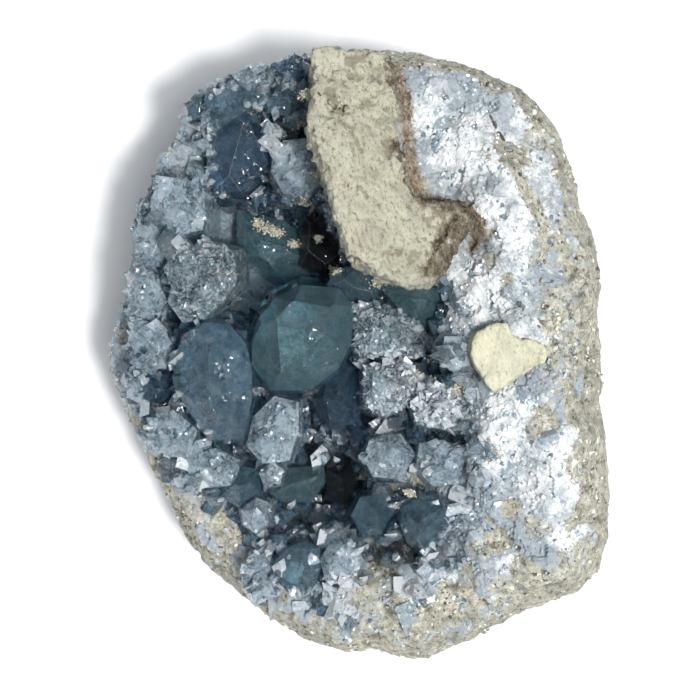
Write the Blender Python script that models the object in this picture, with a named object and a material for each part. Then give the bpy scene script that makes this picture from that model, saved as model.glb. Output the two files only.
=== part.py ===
"""Celestite geode: blue crystals lining a hollow in a lump of pale marl and massive celestite.

X runs across the lump, Y along it and Z up, as it lies with its open side facing up. The origin is
the middle of its outline, on the surface that it rests on. The lump touches that surface with a
small flat spot. Every length and place below is in millimetres; meshes are made in metres.
"""
import math
import random

import bmesh
import bpy
from mathutils import Matrix, Vector, noise
from mathutils.geometry import delaunay_2d_cdt

MM = 0.001
GAP = 0.3
# The room left round the slab and the chip, whose rough tops are netted anew for their cutters.
SLAB_ROOM = 0.5
SEED = 11
CURVE_STEPS = 12
# A net of points over an outline: how uneven it is, and how far it keeps from the outline, as
# shares of its spacing.
NET_JITTER = 0.18
NET_CLEARANCE = 0.45

# The lump: its plan outline, anticlockwise from the right, where it is widest.
LUMP_OUTLINE = (
    (39.5, 6.5), (40.0, 13.0), (39.0, 19.5), (37.0, 24.0), (36.0, 28.5), (34.0, 35.0), (31.5, 40.0),
    (28.0, 43.5), (23.0, 46.5), (18.0, 48.5), (11.5, 50.0), (6.0, 51.0), (-2.5, 50.5), (-8.0, 50.5),
    (-12.5, 49.5), (-17.5, 47.5), (-23.0, 46.0), (-26.0, 43.5), (-29.0, 39.5), (-32.0, 34.5),
    (-35.0, 29.0), (-36.5, 24.0), (-37.5, 18.5), (-38.5, 13.5), (-39.0, 9.5), (-41.0, 5.0),
    (-42.0, 0.0), (-41.0, -4.5), (-38.5, -9.5), (-36.5, -14.5), (-34.5, -19.5), (-32.0, -24.5),
    (-29.5, -30.0), (-26.5, -34.5), (-20.5, -39.0), (-17.0, -42.0), (-11.5, -46.0), (-4.0, -49.0),
    (3.5, -49.0), (10.0, -51.0), (13.0, -49.0), (20.0, -46.5), (26.5, -42.5), (33.5, -40.0),
    (38.5, -37.5), (41.0, -33.0), (41.5, -27.5), (41.5, -21.0), (41.0, -13.0), (40.0, -8.5),
    (40.5, -4.5), (40.0, 1.5),
)
# Round the lump: azimuth in degrees, height of the widest line, width of the rounded shoulder.
RIM = (
    (0, 25, 8), (45, 26, 8), (80, 29, 6), (110, 28, 4), (135, 26, 3), (180, 23, 4), (225, 18, 8),
    (270, 21, 9), (315, 23, 9),
)
# Heights of the lump's upper side: the thick wall on the right, the step down under the slab's
# edge, and the floor and low rim of the hollow on the left, below its crystals.
WALL_HEIGHTS = (
    (18, 2, 44), (17, 10, 45), (21, -3, 46), (22, -12, 45), (23, -22, 43), (20, -32, 39),
    (12, -42, 34), (22, -40, 36), (30, -34, 40), (32, -22, 45), (30, -12, 48), (30, -2, 49),
    (27, 8, 49), (24, 17, 50), (21, 26, 50), (17, 34, 48), (15, 42, 43), (26, 38, 42), (32, 28, 44),
    (34, 16, 45), (36, 4, 43), (37, -8, 42), (38, -20, 41), (36, -30, 37), (10, 22, 47),
    (10, 30, 46), (3, 30, 46), (2, 40, 44), (6, 46, 40),
)
STEP_HEIGHTS = (
    (-5, 46, 41), (-5, 38, 43), (-3, 32, 44), (-1.5, 25, 44), (1, 18, 44), (7, 15.5, 43),
    (13, 15.5, 43), (-12, 46, 29), (-11, 38, 25), (-10, 32, 21), (-9, 25, 16), (-6, 17, 14),
    (0, 11, 19), (6, 10, 25), (12, 9, 30),
)
HOLLOW_HEIGHTS = (
    (-14, 26, 15), (-12, 20, 12), (-14, 14, 12), (-20, 20, 15), (-20, 28, 19), (-20, 36, 24),
    (-27, 36, 26), (-30, 28, 26), (-31, 20, 25), (-26, 13, 21), (-32, 8, 25), (-33, 0, 26),
    (-24, 0, 21), (-16, 4, 17), (-8, 2, 17), (-8, -6, 17), (-12, -12, 17), (-22, -10, 22),
    (-31, -10, 26), (-28, -19, 26), (-20, -20, 23), (-10, -20, 18), (-3, -20, 19), (0, -14, 21),
    (4, -6, 26), (6, 1, 24), (-16, -30, 26), (-8, -32, 27), (-12, -40, 28), (0, -30, 25),
    (6, -26, 27), (0, -40, 31), (8, -36, 33), (12, -28, 32), (14, -20, 34), (12, -12, 32),
    (15, -4, 36), (10, -2, 30),
)
SPOT_SOFTNESS = 2.2
LUMP_SPACING = 3.0
LUMP_CORNERS = 64
UNDERSIDE_RINGS = 8
REST_CENTRE = (3.0, -1.0)
REST_HALF = (18.0, 23.0)
KNOB_SIZE = 9.0
KNOB_HEIGHT = 2.0
PIT_SIZE = 4.0
PIT_SHIFT = (50, 0, 0)
PIT_DEPTH = 0.9
FACET_SIZE = 13.0
FACET_RELIEF = 0.1
SIDE_ROUGHNESS = 1.5

# The marl slab on the wall, shaped like a boot in plan, with a cliff over the hollow.
SLAB_OUTLINE = (
    (17.0, 21.0), (17.0, 23.5), (13.0, 24.5), (9.5, 25.0), (7.5, 26.5), (6.5, 30.5), (5.5, 34.5),
    (5.0, 39.0), (6.0, 42.0), (5.0, 44.0), (5.0, 47.0), (2.5, 48.5), (-2.5, 48.5), (-7.5, 49.0),
    (-7.0, 43.5), (-7.5, 40.0), (-8.0, 35.0), (-6.5, 32.0), (-5.0, 28.0), (-3.5, 22.5),
    (-2.5, 18.5), (-1.5, 16.0), (0.0, 15.0), (4.0, 13.0), (8.0, 12.0), (12.0, 12.5), (13.5, 15.5),
    (15.0, 18.5),
)
SLAB_HEIGHTS = (
    (-5, 47, 46), (3, 47, 46), (-5, 41, 50), (3, 41, 49), (-4, 33, 53), (4, 32, 51), (-1, 25, 54.5),
    (6, 24, 53), (1, 18, 54.5), (8, 15, 54), (14, 21, 52),
)
SLAB_SPACING = 2.8
SLAB_CORNERS = 38
SLAB_UNDERSIDE = 44.0
SLAB_DEPTH = 5.0
SLAB_RELIEF = 0.5
SLAB_NOISE_LEVEL = 90
# Down the slab's side: share of its height, and how far the ledge there stands out.
SLAB_LEDGES = ((0.25, 0.5), (0.5, -0.5), (0.75, 0.3))

# The marl chip stuck to the wall, to the right of the slab's toe.
CHIP_OUTLINE = (
    (28.5, -0.5), (29.5, 1.5), (27.0, 3.0), (24.0, 3.5), (22.5, 6.0), (19.0, 4.5), (17.5, 3.5),
    (17.5, 0.5), (19.0, -2.5), (21.0, -5.0), (23.0, -4.0), (26.0, -2.0),
)
CHIP_CORNERS = 20
CHIP_THICKNESS = 2.6
CHIP_DEPTH = 3.0

# The crust of crystals: the plan outline of its root layer, which hangs a little over the rim.
CRUST_OUTLINE = (
    (14.0, 9.5), (14.0, 13.5), (8.0, 15.0), (2.5, 16.0), (-0.5, 18.0), (-2.0, 23.5), (-3.5, 28.5),
    (-5.0, 33.0), (-6.0, 36.5), (-6.5, 40.5), (-6.5, 45.5), (-8.0, 50.0), (-12.0, 49.5),
    (-18.5, 47.5), (-24.0, 45.5), (-26.5, 43.5), (-29.0, 39.0), (-32.0, 34.0), (-35.0, 28.5),
    (-36.5, 23.5), (-37.5, 18.0), (-38.0, 13.0), (-38.5, 9.5), (-38.0, 4.0), (-37.5, -1.0),
    (-38.0, -5.0), (-37.5, -9.0), (-36.5, -14.0), (-34.5, -18.5), (-31.5, -22.5), (-27.0, -24.0),
    (-22.0, -27.0), (-19.5, -31.0), (-18.0, -36.0), (-16.0, -40.0), (-12.0, -42.5), (-6.5, -44.0),
    (0.0, -42.5), (6.5, -40.0), (10.5, -36.0), (14.5, -31.0), (16.0, -26.0), (18.0, -22.0),
    (21.0, -17.0), (17.5, -13.0), (16.5, -9.0), (18.5, -5.0), (16.5, 0.0), (13.0, 2.5), (12.5, 5.5),
)
CRUST_SPACING = 4.2
CRUST_CORNERS = 46
CRUST_EDGE = 1.4
CRUST_DEPTH = 4.6
CRUST_RISE = 6.0
CRUST_SUNK = 2.5
# How far crystals may stand out past the lump's outline: well above the rim, and just below it.
OVERHANG_HIGH = 3.0
OVERHANG_HIGH_ABOVE_RIM = 8.0
OVERHANG_LOW = -0.3
OVERHANG_LOW_BELOW_RIM = 1.0
CRYSTAL_CEILING = 60.0
CRYSTAL_DEPTH = 5.0
ENVELOPE_SPACING = 20

# Large crystals: plan outline, height of the top, bevel height, tilt and azimuth of the top face.
LARGE_CRYSTALS = (
    # The round crystal in the middle of the hollow, and the tall one to its left.
    (((-17.5, 3), (-16.5, 6.5), (-13.5, 10), (-9.5, 12), (-3.5, 11.5), (-1, 8.5), (-1.5, 2.5),
      (-3.5, -1.5), (-8, -5), (-14.5, -5), (-17.5, -1)), 40, 3.5, 7, 150),
    (((-28.5, 4), (-25, 6), (-21, 5.5), (-18.5, 2.5), (-17.5, -1.5), (-17.5, -6.5), (-19, -13),
      (-24.5, -13), (-29.5, -5.5), (-30, 0)), 42, 4.5, 12, 240),
    # Along the left rim, from its middle up to the far end of the lump.
    (((-32, 15), (-29.5, 17.5), (-25, 19.5), (-20.5, 17.5), (-20, 13), (-21.5, 10), (-25.5, 6.5),
      (-29, 7.5)), 41, 5, 16, 20),
    (((-31.5, 9.5), (-30.5, 12), (-26, 11), (-25, 6.5), (-29, 6)), 37, 3, 20, 250),
    (((-33.5, 29), (-29, 29.5), (-25, 27), (-25.5, 21), (-30, 20), (-33.5, 23.5)), 39, 3, 14, 250),
    (((-36, 23.5), (-33.5, 24), (-30.5, 19.5), (-32.5, 15.5), (-36, 14.5), (-37, 19)), 36, 3, 15, 170),
    (((-38, 14.5), (-34, 14.5), (-31.5, 9.5), (-34, 6.5), (-38, 6.5)), 35, 3, 12, 190),
    (((-25.5, 38.5), (-21, 42), (-16, 41), (-15, 32), (-19.5, 27.5), (-24, 27.5), (-25, 32)),
     36, 4, 18, 280),
    (((-25, 43), (-20, 44.5), (-15, 44.5), (-15.5, 42), (-23, 37), (-25.5, 38.5)), 40, 2, 14, 240),
    (((-28, 42), (-26, 44), (-24.5, 42), (-25.5, 38), (-28, 38.5)), 37, 2.5, 15, 150),
    (((-16, 42), (-13.5, 44.5), (-10.5, 45), (-9, 42), (-11.5, 39.5), (-15, 40)), 38, 3, 15, 90),
    (((-14, 33.5), (-12.5, 35.5), (-8.5, 36), (-6, 32), (-6, 29), (-9, 26), (-12.5, 27),
      (-14.5, 30.5)), 39, 4, 20, 260),
    (((-16, 37.5), (-14, 38.5), (-12, 37), (-14.5, 34), (-16, 34.5)), 36, 2, 20, 30),
    (((-14.5, 48), (-10.5, 49.5), (-8, 48.5), (-8.5, 44), (-12, 45), (-15, 45)), 38, 3, 18, 100),
    (((-23.5, 45.5), (-18.5, 47.5), (-15, 48), (-16, 45), (-20.5, 45)), 36, 2.5, 15, 120),
    # The deep floor of the hollow, and the dark one against the step under the slab.
    (((-26.5, 25.5), (-20, 25), (-12.5, 23), (-6.5, 18), (-5, 13), (-11.5, 12.5), (-16.5, 10),
      (-20.5, 11.5), (-20.5, 17.5), (-26, 21)), 24, 2.5, 8, 190),
    (((-10, 20.5), (-9, 23.5), (-6.5, 23.5), (-3, 17.5), (-5.5, 13.5), (-10, 15.5)), 31, 6, 25, 200),
    # Right of the middle, under the slab's toe and against the wall.
    (((-5.5, 12), (-4, 14.5), (0, 15.5), (3.5, 13), (2.5, 9.5), (-2.5, 9.5)), 36, 3, 16, 230),
    (((3, 12), (5.5, 13), (13.5, 12.5), (13, 9), (10.5, 4.5), (7, 7.5)), 37, 3, 20, 220),
    (((-1.5, 9), (3, 9.5), (9.5, 6.5), (11, 4), (10.5, 0.5), (6, -0.5), (-1, 0.5)), 37, 3, 18, 200),
    (((-5.5, -2), (-2.5, 0), (-0.5, -1.5), (0.5, -6.5), (-0.5, -11.5), (-5, -11.5), (-7.5, -6.5)),
     35, 4, 22, 190),
    (((0.5, -1), (6.5, 0), (11, -3), (9.5, -6.5), (4, -9.5), (0.5, -7.5)), 40, 3, 14, 210),
    (((11, -3), (14.5, -4.5), (16.5, -8.5), (14.5, -11.5), (9, -10.5), (8, -7)), 42, 3, 15, 250),
    # The lower half of the hollow.
    (((-14, -6), (-10, -7), (-10, -11.5), (-11.5, -16.5), (-16, -17), (-18.5, -14), (-17.5, -9.5)),
     38, 4, 14, 40),
    (((-16.5, -18.5), (-14.5, -16.5), (-12.5, -18), (-13, -20.5), (-15.5, -21)), 36, 2.5, 10, 40),
    (((-15.5, -21.5), (-12.5, -18), (-6, -17.5), (-5.5, -20), (-8, -23.5), (-13, -23.5)), 32, 3, 20, 30),
    (((-5.5, -18), (-1.5, -17), (-0.5, -20.5), (-2.5, -24), (-5.5, -23)), 33, 3, 20, 100),
    (((-11.5, -30.5), (-9, -29.5), (-6.5, -30.5), (-6.5, -34), (-7.5, -38), (-11.5, -38),
      (-14, -35.5), (-13.5, -32.5)), 39, 3.5, 16, 250),
    (((7, -24), (10, -22), (13, -22), (15.5, -24.5), (13, -29), (10.5, -32), (7.5, -29.5),
      (6.5, -26.5)), 41, 3.5, 14, 200),
    (((-19.5, -24.5), (-17, -22.5), (-14.5, -23.5), (-15, -27), (-17, -28.5), (-19, -27)),
     36, 3, 15, 240),
    (((5.5, -30), (7, -29), (8.5, -30.5), (8.5, -33), (5.5, -33)), 39, 2, 12, 270),
    (((-36.5, -3), (-31.5, -2.5), (-30.5, -5.5), (-34, -8), (-36, -7)), 36, 2.5, 18, 60),
    (((-37, 6.5), (-32.5, 5.5), (-30.5, 2.5), (-31.5, -1.5), (-36.5, -1.5), (-38, 2.5)), 37, 3, 12, 180),
    (((-34, -10), (-30.5, -8), (-26.5, -11.5), (-27.5, -16), (-31.5, -16), (-34, -13.5)), 37, 3, 15, 210),
    (((-28.5, -15.5), (-23.5, -14.5), (-19.5, -16.5), (-20.5, -20.5), (-25, -21), (-28, -19)),
     36, 3, 14, 240),
    (((-22, -17), (-17, -18), (-16, -22), (-19.5, -24.5), (-23, -22.5)), 34, 3, 16, 280),
    (((-5, -30), (-1.5, -29), (0.5, -32.5), (-1.5, -36.5), (-5.5, -36.5), (-6.5, -32.5)), 38, 3, 16, 80),
    (((-18.5, -32.5), (-15, -30), (-14, -34), (-16, -37.5), (-18.5, -36.5)), 35, 2.5, 18, 200),
    (((1.5, -13), (6.5, -12), (9, -15.5), (6.5, -19.5), (2, -19), (0.5, -16)), 39, 3, 18, 140),
    (((9.5, -13.5), (13.5, -13), (17, -15.5), (16, -20), (11.5, -20.5), (9, -17.5)), 41, 3, 14, 170),
    (((0, -22.5), (3.5, -22), (5.5, -25), (4, -29), (0.5, -29), (-1.5, -25.5)), 36, 3, 18, 120),
)
SIDE_LEAN = 7.0
BEVEL_SLOPES = (28.0, 62.0)
BEVEL_INSET = 0.15
ROOT_DEPTH = 1.0
LARGE_REACH = 60.0
CUT_TOLERANCE = 1e-4

# Small crystals between the large ones. The cell's edges set the angles between the faces.
CELL = (8.36, 5.35, 6.87)
# Each form: its indices, and the least and most distance of its faces, as shares of the radius.
SMALL_FORMS = (((0, 1, 1), 0.85, 1.1), ((0, 0, 1), 0.7, 1.1), ((2, 1, 0), 1.1, 1.5), ((1, 0, 1), 1.2, 1.7))
LEVEL = 1e-3
SMALL_COUNT = 62
SMALL_TRIES = 6000
SMALL_RADII = (1.5, 3.3)
SMALL_X = (-38, 20)
SMALL_Y = (-43, 49)
SMALL_CROWDING = 0.85
# How far a small crystal keeps inside the crust, and how far it may stand in a large one, as shares
# of its radius; then its length below and above its middle.
SMALL_INSIDE = 0.3
SMALL_OVERLAP = 0.2
SMALL_FOOT = 3
SMALL_REACH = 4
# A small crystal grows along the ground's slope, which is measured over this distance, but askew.
SLOPE_PROBE = 2.0
SMALL_SKEW = 0.4
SMALL_UPRIGHT = 0.9
SMALL_BASE = 0.8
SMALL_RISE = (0.2, 0.9)

# Colour and roughness of each node.
FINISHES = {
    "host_rock": ((0.62, 0.64, 0.64), 0.75),
    "marl_slab": ((0.66, 0.60, 0.45), 0.9),
    "marl_chip": ((0.72, 0.64, 0.46), 0.9),
    "crystal_crust": ((0.18, 0.30, 0.40), 0.08),
}


def outline_points(corners, count):
    """The outline as a smooth closed curve through its corners, at evenly spaced points."""
    fine = []
    n = len(corners)
    for i in range(n):
        a, b, c, d = (Vector(corners[(i + k) % n]) for k in (-1, 0, 1, 2))
        for s in range(CURVE_STEPS):
            t = s / CURVE_STEPS
            fine.append(0.5 * (2 * b + (c - a) * t + (2 * a - 5 * b + 4 * c - d) * t * t
                               + (3 * b - a - 3 * c + d) * t ** 3))
    lengths = [0.0]
    for i, p in enumerate(fine):
        lengths.append(lengths[-1] + (fine[(i + 1) % len(fine)] - p).length)
    points = []
    j = 0
    for k in range(count):
        target = lengths[-1] * k / count
        while lengths[j + 1] <= target:
            j += 1
        t = (target - lengths[j]) / (lengths[j + 1] - lengths[j])
        points.append(fine[j].lerp(fine[(j + 1) % len(fine)], t))
    return points


def inside_depth(outline, x, y):
    """Distance to the outline: positive inside it, negative outside."""
    nearest = 1e9
    inside = False
    for i, a in enumerate(outline):
        b = outline[(i + 1) % len(outline)]
        ex, ey = b[0] - a[0], b[1] - a[1]
        t = ((x - a[0]) * ex + (y - a[1]) * ey) / (ex * ex + ey * ey)
        t = min(1.0, max(0.0, t))
        nearest = min(nearest, math.hypot(x - a[0] - ex * t, y - a[1] - ey * t))
        if (a[1] > y) != (b[1] > y) and x < a[0] + (y - a[1]) / ey * ex:
            inside = not inside
    return nearest if inside else -nearest


def blend_heights(spots, x, y):
    """Height at a place: each spot pulls less the further away it is."""
    total = weights = 0.0
    for sx, sy, height in spots:
        weight = ((x - sx) ** 2 + (y - sy) ** 2 + SPOT_SOFTNESS ** 2) ** -2
        total += weight * height
        weights += weight
    return total / weights


def rim_at(x, y):
    """Height of the widest line and width of the shoulder, in the direction of a place."""
    azimuth = math.degrees(math.atan2(y, x)) % 360
    for (a, height_a, width_a), (b, height_b, width_b) in zip(RIM, RIM[1:] + ((360, *RIM[0][1:]),)):
        if azimuth <= b:
            t = (azimuth - a) / (b - a)
            t = t * t * (3 - 2 * t)
            return height_a + (height_b - height_a) * t, width_a + (width_b - width_a) * t
    return RIM[0][1:]


def lumpiness(x, y, z):
    """Knobs, pits and flat tilted facets of broken rock."""
    place = Vector((x, y, z))
    knob = noise.noise(place / KNOB_SIZE)
    pit = noise.noise((place + Vector(PIT_SHIFT)) / PIT_SIZE)
    centre = noise.voronoi(place / FACET_SIZE)[1][0] * FACET_SIZE
    tilt = 2 * noise.cell_vector(centre) - Vector((1, 1, 1))
    facet = (place - centre).dot(tilt)
    return KNOB_HEIGHT * knob - PIT_DEPTH * abs(pit) + FACET_RELIEF * facet


class Lump:
    """The rock's outline and the height of its upper side."""

    def __init__(self):
        self.outline = outline_points(LUMP_OUTLINE, LUMP_CORNERS)
        self.spots = WALL_HEIGHTS + STEP_HEIGHTS + HOLLOW_HEIGHTS

    def height(self, x, y):
        rim, shoulder = rim_at(x, y)
        depth = inside_depth(self.outline, x, y)
        if depth <= 0:
            return rim
        t = min(1.0, depth / shoulder)
        rounding = math.sqrt(1 - (1 - t) ** 2)
        ground = blend_heights(self.spots, x, y)
        return rim + (ground - rim) * rounding + lumpiness(x, y, ground) * t


def plan_net(outline, spacing, rng):
    """Points inside an outline on a loose triangular grid, and the triangles between them all."""
    xs = [p[0] for p in outline]
    ys = [p[1] for p in outline]
    inner = []
    row = 0
    y = min(ys)
    while y < max(ys):
        x = min(xs) + (spacing / 2 if row % 2 else 0)
        while x < max(xs):
            px = x + rng.uniform(-NET_JITTER, NET_JITTER) * spacing
            py = y + rng.uniform(-NET_JITTER, NET_JITTER) * spacing
            if inside_depth(outline, px, py) > spacing * NET_CLEARANCE:
                inner.append(Vector((px, py)))
            x += spacing
        y += spacing * math.sqrt(3) / 2
        row += 1
    points = [Vector(p) for p in outline] + inner
    ring = [(i, (i + 1) % len(outline)) for i in range(len(outline))]
    _, _, faces, sources, _, _ = delaunay_2d_cdt(points, ring, [], 1, 1e-6)
    return points, [[sources[i][0] for i in face] for face in faces]


def object_from(name, vertices, faces):
    """A mesh object, made from points in millimetres."""
    mesh = bpy.data.meshes.new(name)
    mesh.from_pydata([Vector(v) * MM for v in vertices], [], faces)
    mesh.update()
    made = bpy.data.objects.new(name, mesh)
    bpy.context.scene.collection.objects.link(made)
    return made


def capped_solid(name, outline, spacing, top, rings, rng, bottom=None):
    """A closed solid: a net over the outline on top, rings of points down its side, and a base.

    The base is the same net at the bottom heights, or one flat face across the last ring.
    """
    points, net = plan_net(outline, spacing, rng)
    n = len(outline)
    vertices = [(p.x, p.y, top(p.x, p.y)) for p in points]
    faces = [tuple(face) for face in net]
    above = list(range(n))
    for ring in rings:
        below = list(range(len(vertices), len(vertices) + n))
        vertices.extend(ring)
        for i in range(n):
            j = (i + 1) % n
            faces.append((above[i], below[i], below[j]))
            faces.append((above[i], below[j], above[j]))
        above = below
    if bottom is None:
        faces.append(tuple(reversed(above)))
        return object_from(name, vertices, faces)
    start = len(vertices)
    vertices.extend((p.x, p.y, bottom(p.x, p.y)) for p in points)
    faces.extend(tuple(start + i for i in reversed(face)) for face in net)
    for i in range(n):
        j = (i + 1) % n
        faces.append((above[i], start + i, start + j))
        faces.append((above[i], start + j, above[j]))
    return object_from(name, vertices, faces)


def build_rock(lump, rng):
    """The lump: its upper side, a rounded underside and the flat spot that it rests on."""
    n = len(lump.outline)
    rings = []
    for k in range(1, UNDERSIDE_RINGS + 1):
        angle = math.radians(90 * k / UNDERSIDE_RINGS)
        ring = []
        for p in lump.outline:
            rim, _ = rim_at(p.x, p.y)
            azimuth = math.atan2(p.y, p.x)
            rest = Vector((REST_CENTRE[0] + REST_HALF[0] * math.cos(azimuth),
                           REST_CENTRE[1] + REST_HALF[1] * math.sin(azimuth)))
            place = rest.lerp(p, math.cos(angle))
            z = rim * (1 - math.sin(angle))
            bump = SIDE_ROUGHNESS * lumpiness(place.x, place.y, z) * math.sin(2 * angle)
            out = place.normalized() * bump
            ring.append((place.x + out.x, place.y + out.y, z))
        rings.append(ring)
    return capped_solid("host_rock", lump.outline, LUMP_SPACING, lump.height, rings, rng)


def pushed_out(outline, distance):
    """The outline with every point moved outward by a distance."""
    n = len(outline)
    moved = []
    for i, p in enumerate(outline):
        along = outline[(i + 1) % n] - outline[i - 1]
        moved.append(p + Vector((along.y, -along.x)).normalized() * distance)
    return moved


def build_slab(lump, room=0.0):
    """The slab before it is fitted to the rock: a rough top and small ledges down its cliff.

    With some room round it, it is the cutter that keeps its neighbours clear.
    """
    outline = pushed_out(outline_points(SLAB_OUTLINE, SLAB_CORNERS), room)

    def top(x, y):
        return blend_heights(SLAB_HEIGHTS, x, y) + SLAB_RELIEF * lumpiness(x, y, SLAB_NOISE_LEVEL) + room

    def bottom(x, y):
        return min(lump.height(x, y), SLAB_UNDERSIDE) - SLAB_DEPTH - room

    rings = []
    for share, step in SLAB_LEDGES:
        ring = []
        for p, moved in zip(outline, pushed_out(outline, step)):
            ring.append((moved.x, moved.y, top(p.x, p.y) * (1 - share) + bottom(p.x, p.y) * share))
        rings.append(ring)
    rng = random.Random(SEED)
    return capped_solid("marl_slab", outline, SLAB_SPACING, top, rings, rng, bottom)


def build_chip(lump, room=0.0):
    """The chip before it is fitted to the rock, or with some room round it, its cutter."""
    outline = pushed_out(outline_points(CHIP_OUTLINE, CHIP_CORNERS), room)
    level = sum(lump.height(x, y) for x, y in CHIP_OUTLINE) / len(CHIP_OUTLINE)

    def top(x, y):
        return (level + lump.height(x, y)) / 2 + CHIP_THICKNESS + room

    def bottom(x, y):
        return lump.height(x, y) - CHIP_DEPTH - room

    rng = random.Random(SEED)
    return capped_solid("marl_chip", outline, SLAB_SPACING, top, [], rng, bottom)


def build_crust_base(lump, rng):
    """The layer of grown-together crystal that the points stand on, before it is fitted."""
    outline = outline_points(CRUST_OUTLINE, CRUST_CORNERS)

    def top(x, y):
        rise = min(1.0, max(0.0, inside_depth(outline, x, y)) / CRUST_RISE)
        return lump.height(x, y) + CRUST_EDGE + (CRUST_DEPTH - CRUST_EDGE) * rise

    def bottom(x, y):
        return lump.height(x, y) - CRUST_SUNK

    return capped_solid("crystal_crust", outline, CRUST_SPACING, top, [], rng, bottom)


def build_envelope(lump, rng):
    """The space that crystals may fill: it narrows below the rim, where the rock's side begins."""
    def ring(overhang, rise, level=None):
        return [(moved.x, moved.y, level or rim_at(p.x, p.y)[0] + rise)
                for p, moved in zip(lump.outline, pushed_out(lump.outline, overhang))]

    high = ring(OVERHANG_HIGH, 0, CRYSTAL_CEILING)
    rings = [ring(OVERHANG_HIGH, OVERHANG_HIGH_ABOVE_RIM), ring(OVERHANG_LOW, -OVERHANG_LOW_BELOW_RIM)]
    rings.append([(x, y, CRYSTAL_DEPTH) for x, y, _ in rings[-1]])
    outline = [Vector(p[:2]) for p in high]
    return capped_solid("envelope", outline, ENVELOPE_SPACING, lambda x, y: CRYSTAL_CEILING, rings, rng)


def solid_behind(name, centre, reach, planes):
    """The convex solid that is left when a cube is cut off along every plane (point, normal)."""
    bm = bmesh.new()
    bmesh.ops.create_cube(bm, size=2 * reach, matrix=Matrix.Translation(centre))
    for point, normal in planes:
        cut = bmesh.ops.bisect_plane(
            bm, geom=bm.verts[:] + bm.edges[:] + bm.faces[:], dist=CUT_TOLERANCE,
            plane_co=point, plane_no=normal, clear_outer=True)
        edges = [e for e in cut["geom_cut"] if isinstance(e, bmesh.types.BMEdge)]
        bmesh.ops.holes_fill(bm, edges=edges, sides=0)
    bmesh.ops.recalc_face_normals(bm, faces=bm.faces[:])
    bmesh.ops.scale(bm, vec=(MM, MM, MM), verts=bm.verts[:])
    mesh = bpy.data.meshes.new(name)
    bm.to_mesh(mesh)
    bm.free()
    return bpy.data.objects.new(name, mesh)


def large_crystal(name, outline, top, bevel, tilt, azimuth, root, rng):
    """A crystal from its plan outline: steep sides, a bevel over each side and a tilted top face."""
    points = [Vector((*p, top - bevel)) for p in outline]
    area = sum(a.x * b.y - a.y * b.x for a, b in zip(points, points[1:] + points[:1]))
    if area < 0:
        points.reverse()
    centre = sum(points, Vector()) / len(points)
    tilt = math.radians(tilt)
    azimuth = math.radians(azimuth)
    facing = Vector((math.cos(azimuth) * math.sin(tilt), math.sin(azimuth) * math.sin(tilt),
                     math.cos(tilt)))
    planes = [(Vector((centre.x, centre.y, top)), facing), (Vector((0, 0, root)), Vector((0, 0, -1)))]
    lean = math.radians(SIDE_LEAN)
    for a, b in zip(points, points[1:] + points[:1]):
        outward = Vector((b.y - a.y, a.x - b.x, 0)).normalized()
        slope = math.radians(rng.uniform(*BEVEL_SLOPES))
        planes.append((a, outward * math.cos(lean) + Vector((0, 0, math.sin(lean)))))
        inset = a - outward * BEVEL_INSET
        planes.append((inset, outward * math.cos(slope) + Vector((0, 0, math.sin(slope)))))
    return solid_behind(name, centre, LARGE_REACH, planes)


def form_faces(h, k, l):
    """The outward normals of all faces of one crystal form, with the cell's first edge upward."""
    normals = set()
    for sh in {h, -h}:
        for sk in {k, -k}:
            for sl in {l, -l}:
                normals.add((sk / CELL[1], sl / CELL[2], sh / CELL[0]))
    return [Vector(n).normalized() for n in sorted(normals)]


def small_crystal(name, place, up, radius, rng):
    """A crystal with celestite's own face angles, growing from a place in a direction."""
    forms = [(indices, radius * rng.uniform(least, most)) for indices, least, most in SMALL_FORMS]
    turn = up.to_track_quat("Z", "Y").to_matrix() @ Matrix.Rotation(rng.uniform(0, math.tau), 3, "Z")
    planes = [(place - up * SMALL_FOOT * radius, -up)]
    for indices, distance in forms:
        for normal in form_faces(*indices):
            if normal.z > -LEVEL:
                planes.append((place + turn @ normal * distance, turn @ normal))
    return solid_behind(name, place, SMALL_REACH * radius, planes)


def small_places(lump, rng):
    """Places for small crystals, each with a radius, clear of the large ones and of each other."""
    crust = outline_points(CRUST_OUTLINE, CRUST_CORNERS)
    large = [[Vector(p) for p in crystal[0]] for crystal in LARGE_CRYSTALS]
    places = []
    tries = 0
    while len(places) < SMALL_COUNT and tries < SMALL_TRIES:
        tries += 1
        x = rng.uniform(*SMALL_X)
        y = rng.uniform(*SMALL_Y)
        radius = rng.uniform(*SMALL_RADII)
        if inside_depth(crust, x, y) < SMALL_INSIDE * radius:
            continue
        if any(inside_depth(outline, x, y) > SMALL_OVERLAP * radius for outline in large):
            continue
        if any(math.hypot(x - a, y - b) < SMALL_CROWDING * (radius + r) for a, b, r in places):
            continue
        places.append((x, y, radius))
    return places


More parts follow.
